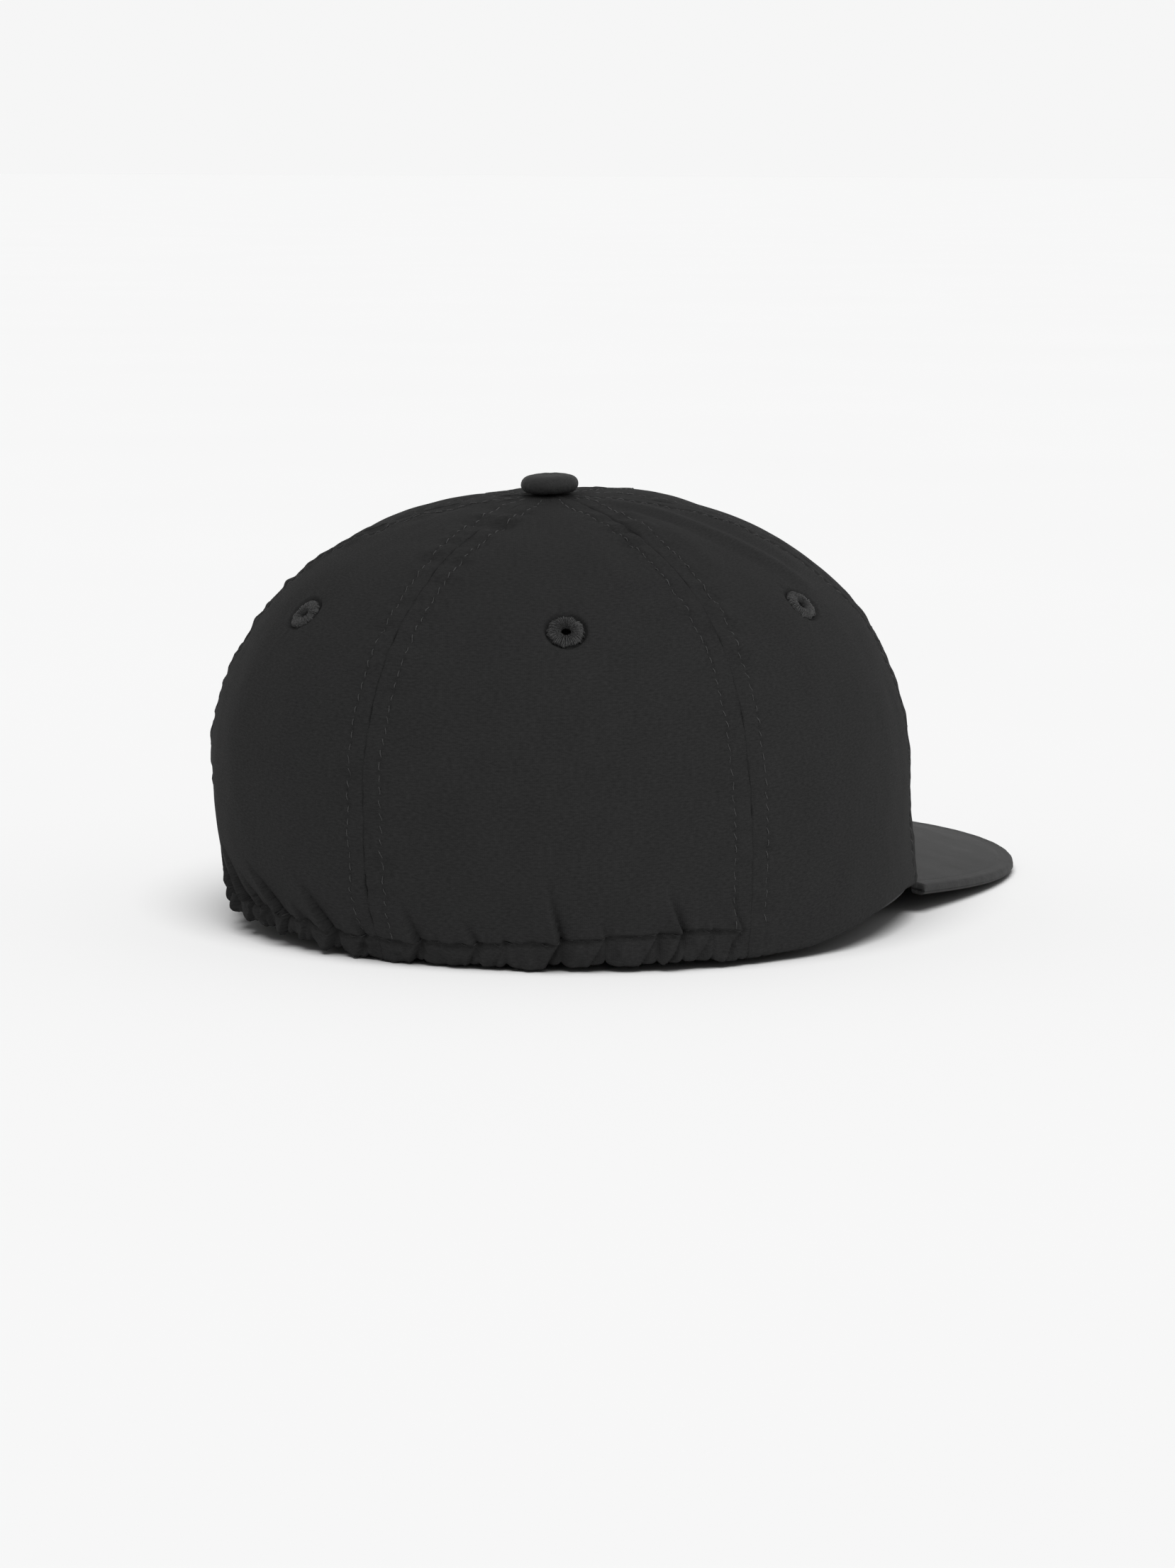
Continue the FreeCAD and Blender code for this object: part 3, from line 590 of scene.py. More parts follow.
class Finish:
    """A procedural material, built a layer at a time."""

    def __init__(self, name, roughness, coordinates="Object", **sockets):
        self.material = bpy.data.materials.new(name)
        self.material.use_nodes = True
        self.nodes = self.material.node_tree.nodes
        self.links = self.material.node_tree.links
        self.shader = self.nodes["Principled BSDF"]
        self.place = self.nodes.new("ShaderNodeTexCoord").outputs[coordinates]
        self.normal = None
        self.feed(self.shader, Roughness=roughness, **sockets)

    def feed(self, node, **inputs):
        """Give a node's inputs their values, or link them to other nodes' outputs."""
        for name, value in inputs.items():
            socket = node.inputs[name.replace("_", " ")]
            if isinstance(value, bpy.types.NodeSocket):
                self.links.new(value, socket)
            else:
                socket.default_value = value

    def add(self, kind, output=0, **inputs):
        node = self.nodes.new("ShaderNode" + kind)
        self.feed(node, **inputs)
        return node.outputs[output]

    def noise(self, scale, detail=2.0, rough=0.5, stretch=(1, 1, 1)):
        place = self.add("Mapping", Vector=self.place, Scale=stretch)
        return self.add("TexNoise", "Fac", Vector=place, Scale=scale, Detail=detail,
                        Roughness=rough)

    def cells(self, scale):
        return self.add("TexVoronoi", "Distance", Vector=self.place, Scale=scale)

    def bands(self, pitch, direction="X", distortion=0.0):
        fac = self.add("TexWave", "Fac", Vector=self.place, Scale=2 * math.pi / (20 * pitch),
                       Distortion=distortion, Detail_Scale=4.0)
        fac.node.bands_direction = direction
        return fac

    def maths(self, operation, first, second):
        node = self.nodes.new("ShaderNodeMath")
        node.operation = operation
        self.links.new(first, node.inputs[0])
        if isinstance(second, float):
            node.inputs[1].default_value = second
        else:
            self.links.new(second, node.inputs[1])
        return node.outputs[0]

    def weave(self, pitch, distortion=0.3):
        over, under = (self.bands(pitch, way, distortion) for way in "XY")
        return self.maths("MULTIPLY", over, under)

    def colour(self, value, dark, light, at=(0.3, 0.7), warm=0.0):
        """Grey from dark to light, or a warmer tone, between two values of a texture."""
        blend = self.add("ValToRGB", "Color", Fac=value)
        for point, place, tone in zip(blend.node.color_ramp.elements, at, (dark, light)):
            point.position = place
            point.color = (tone * (1 + warm), tone, tone * (1 - warm), 1)
        self.feed(self.shader, Base_Color=blend)

    def roughness(self, value, low, high):
        self.feed(self.shader,
                  Roughness=self.add("MapRange", Value=value, To_Min=low, To_Max=high))

    def bump(self, height, distance, strength):
        """A bump on top of those before it."""
        below = {} if self.normal is None else {"Normal": self.normal}
        self.normal = self.add("Bump", "Normal", Height=height, Distance=distance,
                               Strength=strength, **below)
        self.feed(self.shader, Normal=self.normal)


def cloth_finish(name, dark, light, roughness, pitch, crepe, gloss=0.03, **sockets):
    """Woven cloth: mottled colour, thread-by-thread weave and a fine crepe."""
    coordinates = sockets.pop("coordinates", "UV")
    finish = Finish(name, roughness, coordinates, Specular_IOR_Level=gloss, **sockets)
    mottle = finish.noise(90.0, 3.0, 0.5)
    slub = finish.noise(2000.0, 3.0, 0.65, (0.38, 1.0, 1.0))
    blend = finish.maths("ADD", finish.maths("MULTIPLY", mottle, 0.15),
                         finish.maths("MULTIPLY", slub, 0.85))
    finish.colour(blend, dark, light)
    finish.roughness(mottle, roughness - 0.05, roughness + 0.06)
    finish.bump(finish.weave(pitch), 0.00007, 0.8)
    finish.bump(slub, 0.00010, 0.8)
    finish.bump(finish.noise(900.0, 3.0, 0.65), crepe, 0.8)
    return finish.material


def layered(name, roughness, look, *bumps, at=(0.3, 0.7), warm=0.0, **options):
    """A finish from one coloured texture, as (texture, settings, dark, light), and from bumps,
    each as (texture, settings, depth, strength)."""
    finish = Finish(name, roughness, **options)
    texture, settings, dark, light = look
    finish.colour(texture(finish, *settings), dark, light, at, warm)
    for texture, settings, depth, strength in bumps:
        finish.bump(texture(finish, *settings), depth, strength)
    return finish


NOISE, CELLS, BANDS, WEAVE = Finish.noise, Finish.cells, Finish.bands, Finish.weave

CROWN_CLOTH = cloth_finish("crown_cloth", 0.0165, 0.0285, 0.80, 0.0005, 0.00014)
# the peak's cloth is lighter than the crown's: painted light for the light and sheen on the peak's
# upturned top; the under cover shares this lighter cloth
PEAK_CLOTH_PAINTED_LIGHTER = cloth_finish("peak_cloth", 0.0235, 0.0315, 0.60, 0.0005, 0.00005, 0.12)
BUTTON_CLOTH = cloth_finish("button_cloth", 0.019, 0.028, 0.66, 0.0005, 0.00006, 0.12,
                            coordinates="Object")
BAND_CLOTH = cloth_finish("sweatband_cloth", 0.013, 0.020, 0.85, 0.0009, 0.00010, 0.1,
                          Sheen_Weight=0.1, Sheen_Roughness=0.5, Sheen_Tint=(0.8, 0.8, 0.82, 1))
TAPE_CLOTH = cloth_finish("seam_tape", 0.020, 0.030, 0.80, 0.0007, 0.00005)

# the hem's thread is a darker copy of the seam thread: its darker tone is painted shade for the
# stitch row sunk in the hem's pinch
THREAD, HEM_THREAD_PAINTED_SHADE = (
    layered(name, 0.55, (NOISE, (3500.0, 2.0), dark, light),
            (NOISE, (5200.0, 1.0, 0.5, (1, 1, 3)), 0.00004, 0.6), Specular_IOR_Level=0.3).material
    for name, dark, light in (("embroidery_thread", 0.020, 0.050), ("hem_thread_painted_shade", 0.010, 0.026)))
EYELET_THREAD = layered("eyelet_thread", 0.6, (NOISE, (2400.0, 3.0), 0.012, 0.046),
                        (NOISE, (5200.0, 1.0), 0.00005, 0.6),
                        at=(0.42, 0.58), Specular_IOR_Level=0.4).material
STIFFENER = layered("stiffener", 0.8, (NOISE, (700.0, 3.0), 0.045, 0.07),
                    (WEAVE, (0.0013, 0.2), 0.00015, 0.9)).material
ELASTIC = layered("elastic", 0.8, (BANDS, (0.0011, "X", 0.4), 0.014, 0.032),
                  (BANDS, (0.0011, "X", 0.4), 0.0002, 0.8),
                  (BANDS, (0.0016, "Y", 0.2), 0.0001, 0.6), coordinates="UV").material
LABEL = layered("label", 0.55, (NOISE, (900.0, 2.0), 0.55, 0.68),
                (BANDS, (0.00045, "Y", 0.1), 0.00005, 0.7),
                warm=0.02, coordinates="UV", Sheen_Weight=0.2).material
LOOP, HOOK = (
    layered(name, 0.9, (CELLS, (scale,), light, dark), (CELLS, (scale,), depth, 1.0),
            (NOISE, (scale * 2.2, 3.0), depth * 0.6, 0.8),
            at=(0.1, 0.6), Sheen_Weight=0.3).material
    for name, dark, light, scale, depth in (("loop_fabric", 0.012, 0.030, 1300.0, 0.0004),
                                            ("hook_fabric", 0.014, 0.034, 900.0, 0.0005)))
WASHER = layered("washer", 0.35, (NOISE, (500.0, 3.0), 0.45, 0.58),
                 (NOISE, (1600.0, 2.0, 0.6, (1, 6, 1)), 0.00003, 0.6), Metallic=1.0).material
BOARD = layered("peak_board", 0.5, (NOISE, (350.0, 3.0), 0.020, 0.028),
                (NOISE, (1500.0, 3.0), 0.00008, 0.6)).material
FOAM = layered("foam", 0.92, (CELLS, (1500.0,), 0.020, 0.036),
               (CELLS, (1500.0,), 0.00025, 0.9), (NOISE, (2600.0, 3.0), 0.0001, 0.7),
               at=(0.05, 0.6)).material
shell_finish = layered("shell_plastic", 0.42, (NOISE, (60.0, 3.0), 0.030, 0.036),
                       (NOISE, (1900.0, 2.0), 0.00007, 0.55), (CELLS, (1100.0,), 0.00004, 0.5),
                       Specular_IOR_Level=0.5)
shell_finish.roughness(shell_finish.noise(140.0, 3.0), 0.34, 0.5)
SHELL = shell_finish.material


# ---------------------------------------------------------------- crown panels

FINE_STEP = 0.5             # grid spacing at seams, hem and eyelets
SIDE_STEP = 1.1             # elsewhere across a panel, and up one
UP_STEP = 0.9
SEAM_ZONE = 9.0
HEM_ZONE = 12.0
EYELET_ZONE = 76.0
FREE_ARC = 104.0            # rows keep one arc height up to here, and share out the rest above
TOP_ROWS = 55
REAR_FULLNESS = 1.15        # hem of a rear panel as cut, over the same hem drawn in
GATHER_HEIGHT = 25.0        # how far up that fullness reaches


def spaced(length, fine_zones, coarse):
    """Positions from 0 to length, closer together inside the fine zones."""
    places = [0.0]
    while places[-1] < length - 0.3 * FINE_STEP:
        here = places[-1]
        close = any(low <= here <= high for low, high in fine_zones)
        places.append(here + (FINE_STEP if close else coarse))
    return np.array(places) * (length / places[-1])


def panel_grid(start, end):
    """Azimuth and arc height of every point of one panel's grid."""
    width = math.radians(end - start) * HEM_RADIUS
    step = FINE_STEP if is_rear((start + end) / 2) else SIDE_STEP
    across = spaced(width, [(0, SEAM_ZONE), (width - SEAM_ZONE, width)], step)
    azimuths = start + (end - start) * across / width
    low_arc = spaced(FREE_ARC, [(0, HEM_ZONE), (EYELET_ZONE, FREE_ARC)], UP_STEP)
    azimuth, arc = np.meshgrid(azimuths, low_arc)
    ends = [CROWN.arc_at_radius(a, APEX_HOLE) for a in CROWN.azimuths]
    tops = np.interp(azimuths, CROWN.azimuths, ends)
    upper = FREE_ARC + np.linspace(0, 1, TOP_ROWS + 1)[1:, None] * (tops - FREE_ARC)
    return np.vstack([azimuth, np.tile(azimuths, (TOP_ROWS, 1))]), np.vstack([arc, upper])


def panel_piece(name, start, end):
    """One panel's cloth, with a hole at its eyelet."""
    azimuth, arc = panel_grid(start, end)
    outer = cloth_points(azimuth, arc)
    even, normals = crown_frame(azimuth, arc + hem_lift(azimuth, arc))
    relief = ((outer - even) * normals).sum(-1)
    inner = even + normals * np.minimum(relief - 0.3, -CLOTH)[..., None]
    radius = plan_radius(even)
    keep = np.ones((azimuth.shape[0] - 1, azimuth.shape[1] - 1), bool)
    for _, _, centre, height in eyelet_places():
        x = np.radians((azimuth - centre + 180) % 360 - 180) * radius
        keep &= np.hypot(x, arc - height)[:-1, :-1] > EYELET_BORE + 1.0
    uv = flat_place(azimuth - (start + end) / 2, arc, radius)
    return closed_sheet(name, outer, inner, CROWN_CLOTH, uv, keep)


def grid_area(points):
    """Area of the surface through a grid of points."""
    across = points[:-1, 1:] - points[:-1, :-1]
    up = points[1:, :-1] - points[:-1, :-1]
    return np.linalg.norm(np.cross(across, up), axis=-1).sum()


def panel_cut(start, end, gathered):
    """Width, height and area of one panel laid flat, without seam allowances, in metres."""
    azimuth, arc = panel_grid(start, end)
    even = CROWN.points(azimuth, arc)
    widths = np.linalg.norm(np.diff(even, axis=1), axis=-1).sum(1)
    width, height, area = widths.max(), arc[-1].mean(), grid_area(even)
    if gathered:
        fuller = (REAR_FULLNESS - 1) * widths[0]
        width = max(width, widths[0] + fuller)
        area += fuller * GATHER_HEIGHT / 2
    return width * 0.001, height * 0.001, area * 0.000001


for side, start, end in zip(PANELS, SEAMS, SEAMS[1:] + [360.0]):
    piece = panel_piece("cloth_" + side, start, end)
    fit_to(piece, "cap", "crown_cloth", "panel_" + side)
    gathered = side.startswith("rear")
    width, height, area = panel_cut(start, end, gathered)


# ---------------------------------------------------------------- stitching

def thread_mesh(name, paths, radius, material=THREAD):
    """Short threads along rows of points with normals: paths are (points, normals) in mm."""
    points, faces = [], []
    sides = 6
    turn = full_turn(sides)[None, :, None]
    for centre, normal in paths:
        tangent = unit(np.gradient(centre, axis=0))
        side = unit(np.cross(tangent, normal))
        up = np.cross(side, tangent)
        count = len(centre)
        width = radius * np.maximum(1 - np.linspace(-1, 1, count) ** 6, 0.12)
        ring = np.cos(turn) * side[:, None] + np.sin(turn) * up[:, None]
        start = len(points) * count * sides
        points.append((centre[:, None] + width[:, None, None] * ring).reshape(-1, 3))
        for i in range(count - 1):
            a, b = start + i * sides, start + (i + 1) * sides
            for j in range(sides):
                k = (j + 1) % sides
                faces.append((a + j, b + j, b + k, a + k))
        faces.append(tuple(start + j for j in range(sides)))
        faces.append(tuple(start + (count - 1) * sides + j for j in reversed(range(sides))))
    return make_object(name, np.concatenate(points), faces, material)


def stitch_row(line, seed, proud=0.06):
    """Stitches along a line of (azimuth, arc) points on the crown's cloth."""
    draw = np.random.default_rng(seed)
    even = CROWN.points(line[:, 0], line[:, 1])
    length = run_length(even)
    starts, here = [], draw.uniform(0, 1)
    while here + STITCH < length[-1]:
        starts.append((here, here + STITCH * draw.uniform(0.85, 1.12)))
        here = starts[-1][1] + STITCH_GAP * draw.uniform(0.7, 1.3)
    share = np.linspace(0, 1, 7)
    spans = np.array([start + (end - start) * share for start, end in starts])
    azimuth = np.interp(spans, length, line[:, 0])
    arc = np.interp(spans, length, line[:, 1])
    skew = draw.normal(0.42, 0.16, (len(starts), 1)) * (share - 0.5)[None]
    azimuth = azimuth + np.degrees(skew / np.maximum(plan_radius(even[:1]), 20))
    points = cloth_points(azimuth, arc)
    normal = CROWN.normals(azimuth, arc)
    arch = proud - 0.34 * np.abs(2 * share - 1) ** 4
    return [(p + n * arch[:, None], n) for p, n in zip(points, normal)]


def seam_line(seam, side):
    """A stitch row beside one seam, from the hem to the button."""
    low = hem_row(seam) if is_rear(seam) else 0.8
    arc = np.linspace(float(low), CROWN.arc_at_radius(seam, 7.0), 400)
    radius = plan_radius(CROWN.points(seam, arc))
    offset = row_offset(radius, SEAMS.index(seam)) + 0.12 * np.sin(arc / 9.0 + seam + side)
    return np.stack([seam + side * np.degrees(offset / radius), arc], -1)


def hem_line():
    """The stitch row above the elastic, a little uneven."""
    azimuth = np.linspace(GATHERS[0] + 0.4, GATHERS[1] - 0.4, 700)
    wave = 0.25 * np.sin(azimuth * 0.9) + 0.2 * np.sin(azimuth * 2.3 + 1)
    return np.stack([azimuth, hem_row(azimuth) + wave], -1)


paths = []
for number, seam in enumerate(SEAMS):
    for side in (-1, 1):
        paths += stitch_row(seam_line(seam, side), 10 + 2 * number + side)
fit_to(thread_mesh("seam_stitching", paths, THREAD_RADIUS), "cap", "embroidery_thread")
paths = stitch_row(hem_line(), 71, 0.04)
fit_to(thread_mesh("hem_stitching", paths, THREAD_RADIUS, HEM_THREAD_PAINTED_SHADE), "cap", "embroidery_thread")


# ---------------------------------------------------------------- eyelets

EYELET_THREADS = 46
STEPS_PER_THREAD = 7
# half section of an eyelet, from its bore over the top to the back: radius, height
EYELET_PROFILE = [
    (1.30, -0.9), (1.2, -0.35), (1.3, 0.1), (1.7, 0.5), (2.4, 0.75), (3.1, 0.80), (3.8, 0.68),
    (4.1, 0.42), (4.4, 0.1), (4.5, -0.25), (4.4, -0.6), (3.7, -0.8), (2.5, -0.85),
]


def eyelet_piece(name, azimuth, arc, seed):
    """Ring of radial threads worked round a hole in the cloth."""
    draw = np.random.default_rng(seed)
    count = EYELET_THREADS * STEPS_PER_THREAD
    turn = full_turn(count)
    phase = (np.arange(count) % STEPS_PER_THREAD) / STEPS_PER_THREAD
    ridge = np.sin(math.pi * phase) ** 0.8
    ends, lift, lean = (np.repeat(draw.normal(0, size, EYELET_THREADS), STEPS_PER_THREAD)
                        for size in (0.32, 0.09, 0.04))
    rings = []
    radius_here = float(np.hypot(*CROWN.points(azimuth, arc)[:2]))
    for reach, height in EYELET_PROFILE:
        outer_share = max((reach - EYELET_BORE) / (EYELET_RADIUS - EYELET_BORE), 0.0)
        r = reach + ends * outer_share ** 3 + (ridge - 0.6) * 0.30 * outer_share ** 4
        top = height + (0.5 * (ridge - 0.7) + lift) * (height > 0)
        angle = turn + lean * outer_share
        place = azimuth + np.degrees(r * np.cos(angle) / radius_here)
        even, normal = crown_frame(place, arc + r * np.sin(angle))
        rings.append(even + normal * (waves(even) - 0.35 + top)[:, None])
    return loop_solid(name, np.array(rings), EYELET_THREAD)


for number, (panel, side, azimuth, arc) in enumerate(eyelet_places()):
    place = panel + ("_right" if side > 0 else "_left")
    piece = eyelet_piece("embroidered_eyelet_" + place, azimuth, arc, 40 + number)
    fit_to(piece, "cap", "embroidery_thread", "eyelet_" + place)


# ---------------------------------------------------------------- button

# half section of the button, from the hole beneath it to its top: radius, height
BUTTON_PROFILE = [
    (1.4, -1.6), (1.5, -0.2), (2.6, 0.15), (5.2, 0.35), (6.5, 0.7), (7.2, 1.3), (7.55, 2.1),
    (7.6, 2.9), (7.35, 3.7), (6.7, 4.4), (5.6, 4.9), (4.2, 5.15), (2.7, 5.22), (1.3, 5.24),
    (0.25, 5.24),
]


def resample_profile(profile, count):
    """Evenly spaced points along a smoothed polyline."""
    points = np.array(profile, float)
    for _ in range(3):
        cut = np.empty((2 * len(points) - 2, 2))
        cut[0::2] = 0.75 * points[:-1] + 0.25 * points[1:]
        cut[1::2] = 0.25 * points[:-1] + 0.75 * points[1:]
        points = np.vstack([points[:1], cut, points[-1:]])
    length = run_length(points)
    even = np.linspace(0, length[-1], count)
    return np.stack([np.interp(even, length, points[:, k]) for k in (0, 1)], -1)


def button_piece():
    """Cloth drawn over a round button and gathered beneath it."""
    draw = np.random.default_rng(5)
    turn = full_turn(160)
    ripples = [(k, draw.uniform(0, 6.28), draw.uniform(0.4, 1.0)) for k in (7, 11, 16, 23, 31)]
    pleat = sum(size * np.sin(k * turn + phase) for k, phase, size in ripples) / 2.2
    dents = sum(np.sin(k * turn + phase + 1) for k, phase, size in ripples[:2]) / 2
    rings = []
    for reach, height in resample_profile(BUTTON_PROFILE, 44):
        under = (1 - smooth(1.0, 3.6, height)) * (reach > 2)
        r = reach * (1 + 0.02 * pleat * under) + 0.05 * dents * (reach > 4)
        z = CROWN_HEIGHT + height + 0.09 * pleat * under + 0.04 * dents
        rings.append(np.stack([r * np.cos(turn), r * np.sin(turn), z], -1) + SLIP * SLIP_WAY)
    return loop_solid("covered_button", np.array(rings), BUTTON_CLOTH, closed_rows=False)


fit_to(button_piece(), "cap", "button_cloth", "top_button")


# ---------------------------------------------------------------- peak

def hem_place(azimuth, depth=0.0):
    """Point of the crown's layer at one depth, on the hem plane."""
    arc = np.zeros(np.shape(azimuth))
    return CROWN.points(azimuth, arc) - CROWN.normals(azimuth, arc) * depth


TEMPLE = hem_place(np.array([PEAK_TEMPLE]))[0]
PEAK_COLUMNS = 240
PEAK_COVER = 0.55
PEAK_EDGE_RADIUS = PEAK_THICKNESS / 2
PEAK_EDGE_GROWTH = (0.5, 0.9)    # beyond the board's cover all round, and more at the front
PEAK_TURN_IN = 3.0               # how much further a cover reaches when it is laid flat
PEAK_ARCH = 1.5                  # how far the top cloth stands off the board along its middle
PEAK_ARCH_WIDTH = 62.0
PEAK_ARCH_EASE = 16.0            # how far in from the edge it takes to rise
PEAK_END_TUCK = 0.9              # how far each cover is turned in past the temple ends


def peak_middle(points):
    """Height of the middle of the board at each point's place in plan."""
    x, y = points[..., 0], points[..., 1]
    top = PEAK_CURVE * (TEMPLE[0] ** 2 - x ** 2) - PEAK_SLOPE * (TEMPLE[1] - y)
    return top - PEAK_EDGE_RADIUS


def peak_lines():
    """Matching points along the sewn edge and the free edge, from the right to the left."""
    turn = np.linspace(-math.pi / 2, math.pi / 2, 2400)
    x = -PEAK_HALF_WIDTH * np.sign(turn) * np.abs(np.sin(turn)) ** (2 / PEAK_POWER)
    reach = PEAK_FRONT + TEMPLE[1]
    y = TEMPLE[1] - reach * np.maximum(np.cos(turn), 0) ** (2 / PEAK_POWER)
    length = run_length(np.stack([x, y], -1))
    even = np.linspace(0, length[-1], PEAK_COLUMNS)
    free = np.stack([np.interp(even, length, x), np.interp(even, length, y)], -1)
    azimuth = np.linspace(-PEAK_TEMPLE, PEAK_TEMPLE, PEAK_COLUMNS)
    sewn = hem_place(azimuth % 360.0, PEAK_INNER_DEPTH)[:, :2]
    return sewn, free


def peak_normals(free):
    along = unit(np.gradient(free, axis=0))
    out = np.stack([along[:, 1], -along[:, 0]], -1)
    return np.where((out * (free - free.mean(0))).sum(-1, keepdims=True) < 0, -out, out)


def peak_relief(flat, edge_distance):
    """Slight waves of the cloth over the board, and its sewn edge."""
    place = np.column_stack([flat, np.zeros(len(flat))])
    calm = np.clip(edge_distance / 8.0, 0.0, 1.0)
    relief = 0.12 * BROAD(place) * calm + 0.035 * MIDDLE(place) + 0.012 * SMALL(place)
    return relief - 0.10 * bell(edge_distance - 3.4, 0.7)


def close_temples(cover):
    """Turn both ends of a cover in over the end of the board."""
    ends = []
    for end in (cover[:, 0], cover[:, -1]):
        middle = peak_middle(end)
        for share, tuck in ((0.75, 0.7), (0.3, 1.0), (0.02, 1.0)):
            place = end.copy()
            place[:, 1] += PEAK_END_TUCK * tuck
            place[:, 2] = middle + (end[:, 2] - middle) * share
            ends.append(place)
    first, last = ends[:3][::-1], ends[3:]
    return np.concatenate([np.stack(first, 1), cover, np.stack(last, 1)], 1)


def peak_cover(end_turn, facing, offset):
    """One cover: from the sewn edge across the board and round part of its free edge."""
    sewn, free = peak_lines()
    out = peak_normals(free)
    core = free - out * PEAK_EDGE_RADIUS
    front = np.clip(-out[:, 1], 0.0, 1.0) ** 2
    reach = PEAK_EDGE_RADIUS + offset
    column = np.arange(PEAK_COLUMNS)
    ripple = 0.05 * np.sin(column * 0.9) + 0.04 * np.sin(column * 2.3)
    rows = []
    for share in 1 - (1 - np.linspace(0, 1, 74)) ** 1.25:
        flat = sewn + (core - sewn) * share
        distance = np.linalg.norm(core - flat, axis=1) + PEAK_EDGE_RADIUS
        rise = peak_relief(flat, distance) * facing
        if facing > 0:
            eased = np.clip(distance / PEAK_ARCH_EASE, 0.0, 1.0)
            rise += PEAK_ARCH * eased * bell(flat[:, 0], PEAK_ARCH_WIDTH)
        rows.append((flat, peak_middle(flat) + facing * reach + rise))
    for turn in np.radians(np.linspace(0, end_turn, 11))[1:]:
        grown = PEAK_EDGE_GROWTH[0] + PEAK_EDGE_GROWTH[1] * front
        swing = math.sin(min(turn, math.pi / 2))
        wide = reach * swing ** (0.9 - 0.35 * front) + grown * min(swing / 0.5, 1.0) + ripple
        drop = np.sign(math.cos(turn)) * abs(math.cos(turn)) ** (0.95 - 0.25 * front)
        rows.append((core + out * wide[:, None], peak_middle(core) + facing * reach * drop))
    return close_temples(np.array([np.column_stack(row) for row in rows]))


for side, facing, end_turn in (("top", 1, 112), ("under", -1, 64)):
    outer, inner = (peak_cover(end_turn, facing, offset) for offset in (0.0, -PEAK_COVER))
    outer, inner = outer[:, ::-facing], inner[:, ::-facing]
    uv = outer[..., :2] * 0.001
    piece = closed_sheet("peak_" + side + "_cloth", outer, inner, PEAK_CLOTH_PAINTED_LIGHTER, uv)
    fit_to(piece, "cap", "peak_cloth", "peak_cover_" + side)
    width = 2 * (PEAK_HALF_WIDTH + PEAK_TURN_IN)


# ---------------------------------------------------------------- linings

TAPE_DEPTH = 0.95           # depths are to a lining's outer face, from the crown's outer face
TAPE_HALF_WIDTH = 6.0
TAPE_TOP_RADIUS = 15.0
BAND_DEPTH = 1.9
BAND_MIDDLE = 16.0          # arc height of the middle of the sweatband
BAND_ROWS = (4.2, 28.0)
BAND_STITCH = 3.6           # from one stitch of the band to the next
CASING_CLOTH = 0.5
LABEL_DEPTH = 3.48


def strip(name, azimuth, arc, depth, thickness, material, share=1.0):
    """Closed strip of cloth that lies inside the crown on a grid of azimuth and arc."""
    outer = cloth_points(azimuth, arc, depth, share)
    inner = cloth_points(azimuth, arc, depth + thickness, share)
    uv = flat_place(azimuth, arc, plan_radius(outer))
    return closed_sheet(name, outer, inner, material, uv)


for seam, place in zip(SEAMS, SEAM_NAMES):
    low, high = 9.4 if is_rear(seam) else 3.0, CROWN.arc_at_radius(seam, TAPE_TOP_RADIUS)
    across = np.linspace(-TAPE_HALF_WIDTH, TAPE_HALF_WIDTH, 17)
    across, arc = np.meshgrid(across, np.linspace(low, high, 170))
    azimuth = seam + np.degrees(across / plan_radius(CROWN.points(seam, arc)))
    piece = strip("tape_" + place, azimuth, arc, TAPE_DEPTH, 0.45, TAPE_CLOTH, 0.6)
    fit_to(piece, "cap", "seam_tape", "seam_tape_" + place)

for side, start, end in (("right", 5.5, 53.5), ("left", 306.5, 354.5)):
    azimuth, arc = np.meshgrid(np.linspace(start, end, 60), np.linspace(6.0, 77.0, 60))
    piece = strip("buckram_" + side, azimuth, arc, TAPE_DEPTH, 0.5, STIFFENER, 0.5)
    fit_to(piece, "cap", "stiffener", "front_stiffener_" + side)


def band_face(points, height, follow):
    """Depth of the sweatband's inner face, full between its two rows of stitches."""
    sewn = sum(bell(height - row, 0.6) for row in BAND_ROWS)
    swell = np.sqrt(np.clip(1 - ((height - BAND_MIDDLE) / 15.4) ** 2, 0, 1)) ** 0.35
    return BAND_DEPTH + 0.35 + 0.85 * swell - 0.28 * sewn + 0.12 * MIDDLE(points) - follow


def sweatband_piece():
    """Quilted-edge band sewn inside the hem, with a rolled lower edge."""
    azimuths = np.linspace(-REAR_SEAM + 0.8, REAR_SEAM - 0.8, 420)
    arcs = np.concatenate([[0.9, 1.3, 1.9], np.linspace(2.6, 29.0, 44), [29.8, 30.4, 30.9]])
    azimuth, arc = np.meshgrid(azimuths, arcs)
    even = CROWN.points(azimuth % 360, arc)
    normal = CROWN.normals(azimuth % 360, arc)
    follow = swell_relief(azimuth % 360, arc, HEM_RADIUS)
    inner = even - normal * band_face(even, arc, follow)[..., None]
    outer = even - normal * (BAND_DEPTH + 0.05 - follow)[..., None]
    uv = flat_place(azimuth, arc, plan_radius(outer))
    return closed_sheet("sweatband_cloth", outer, inner, BAND_CLOTH, uv)


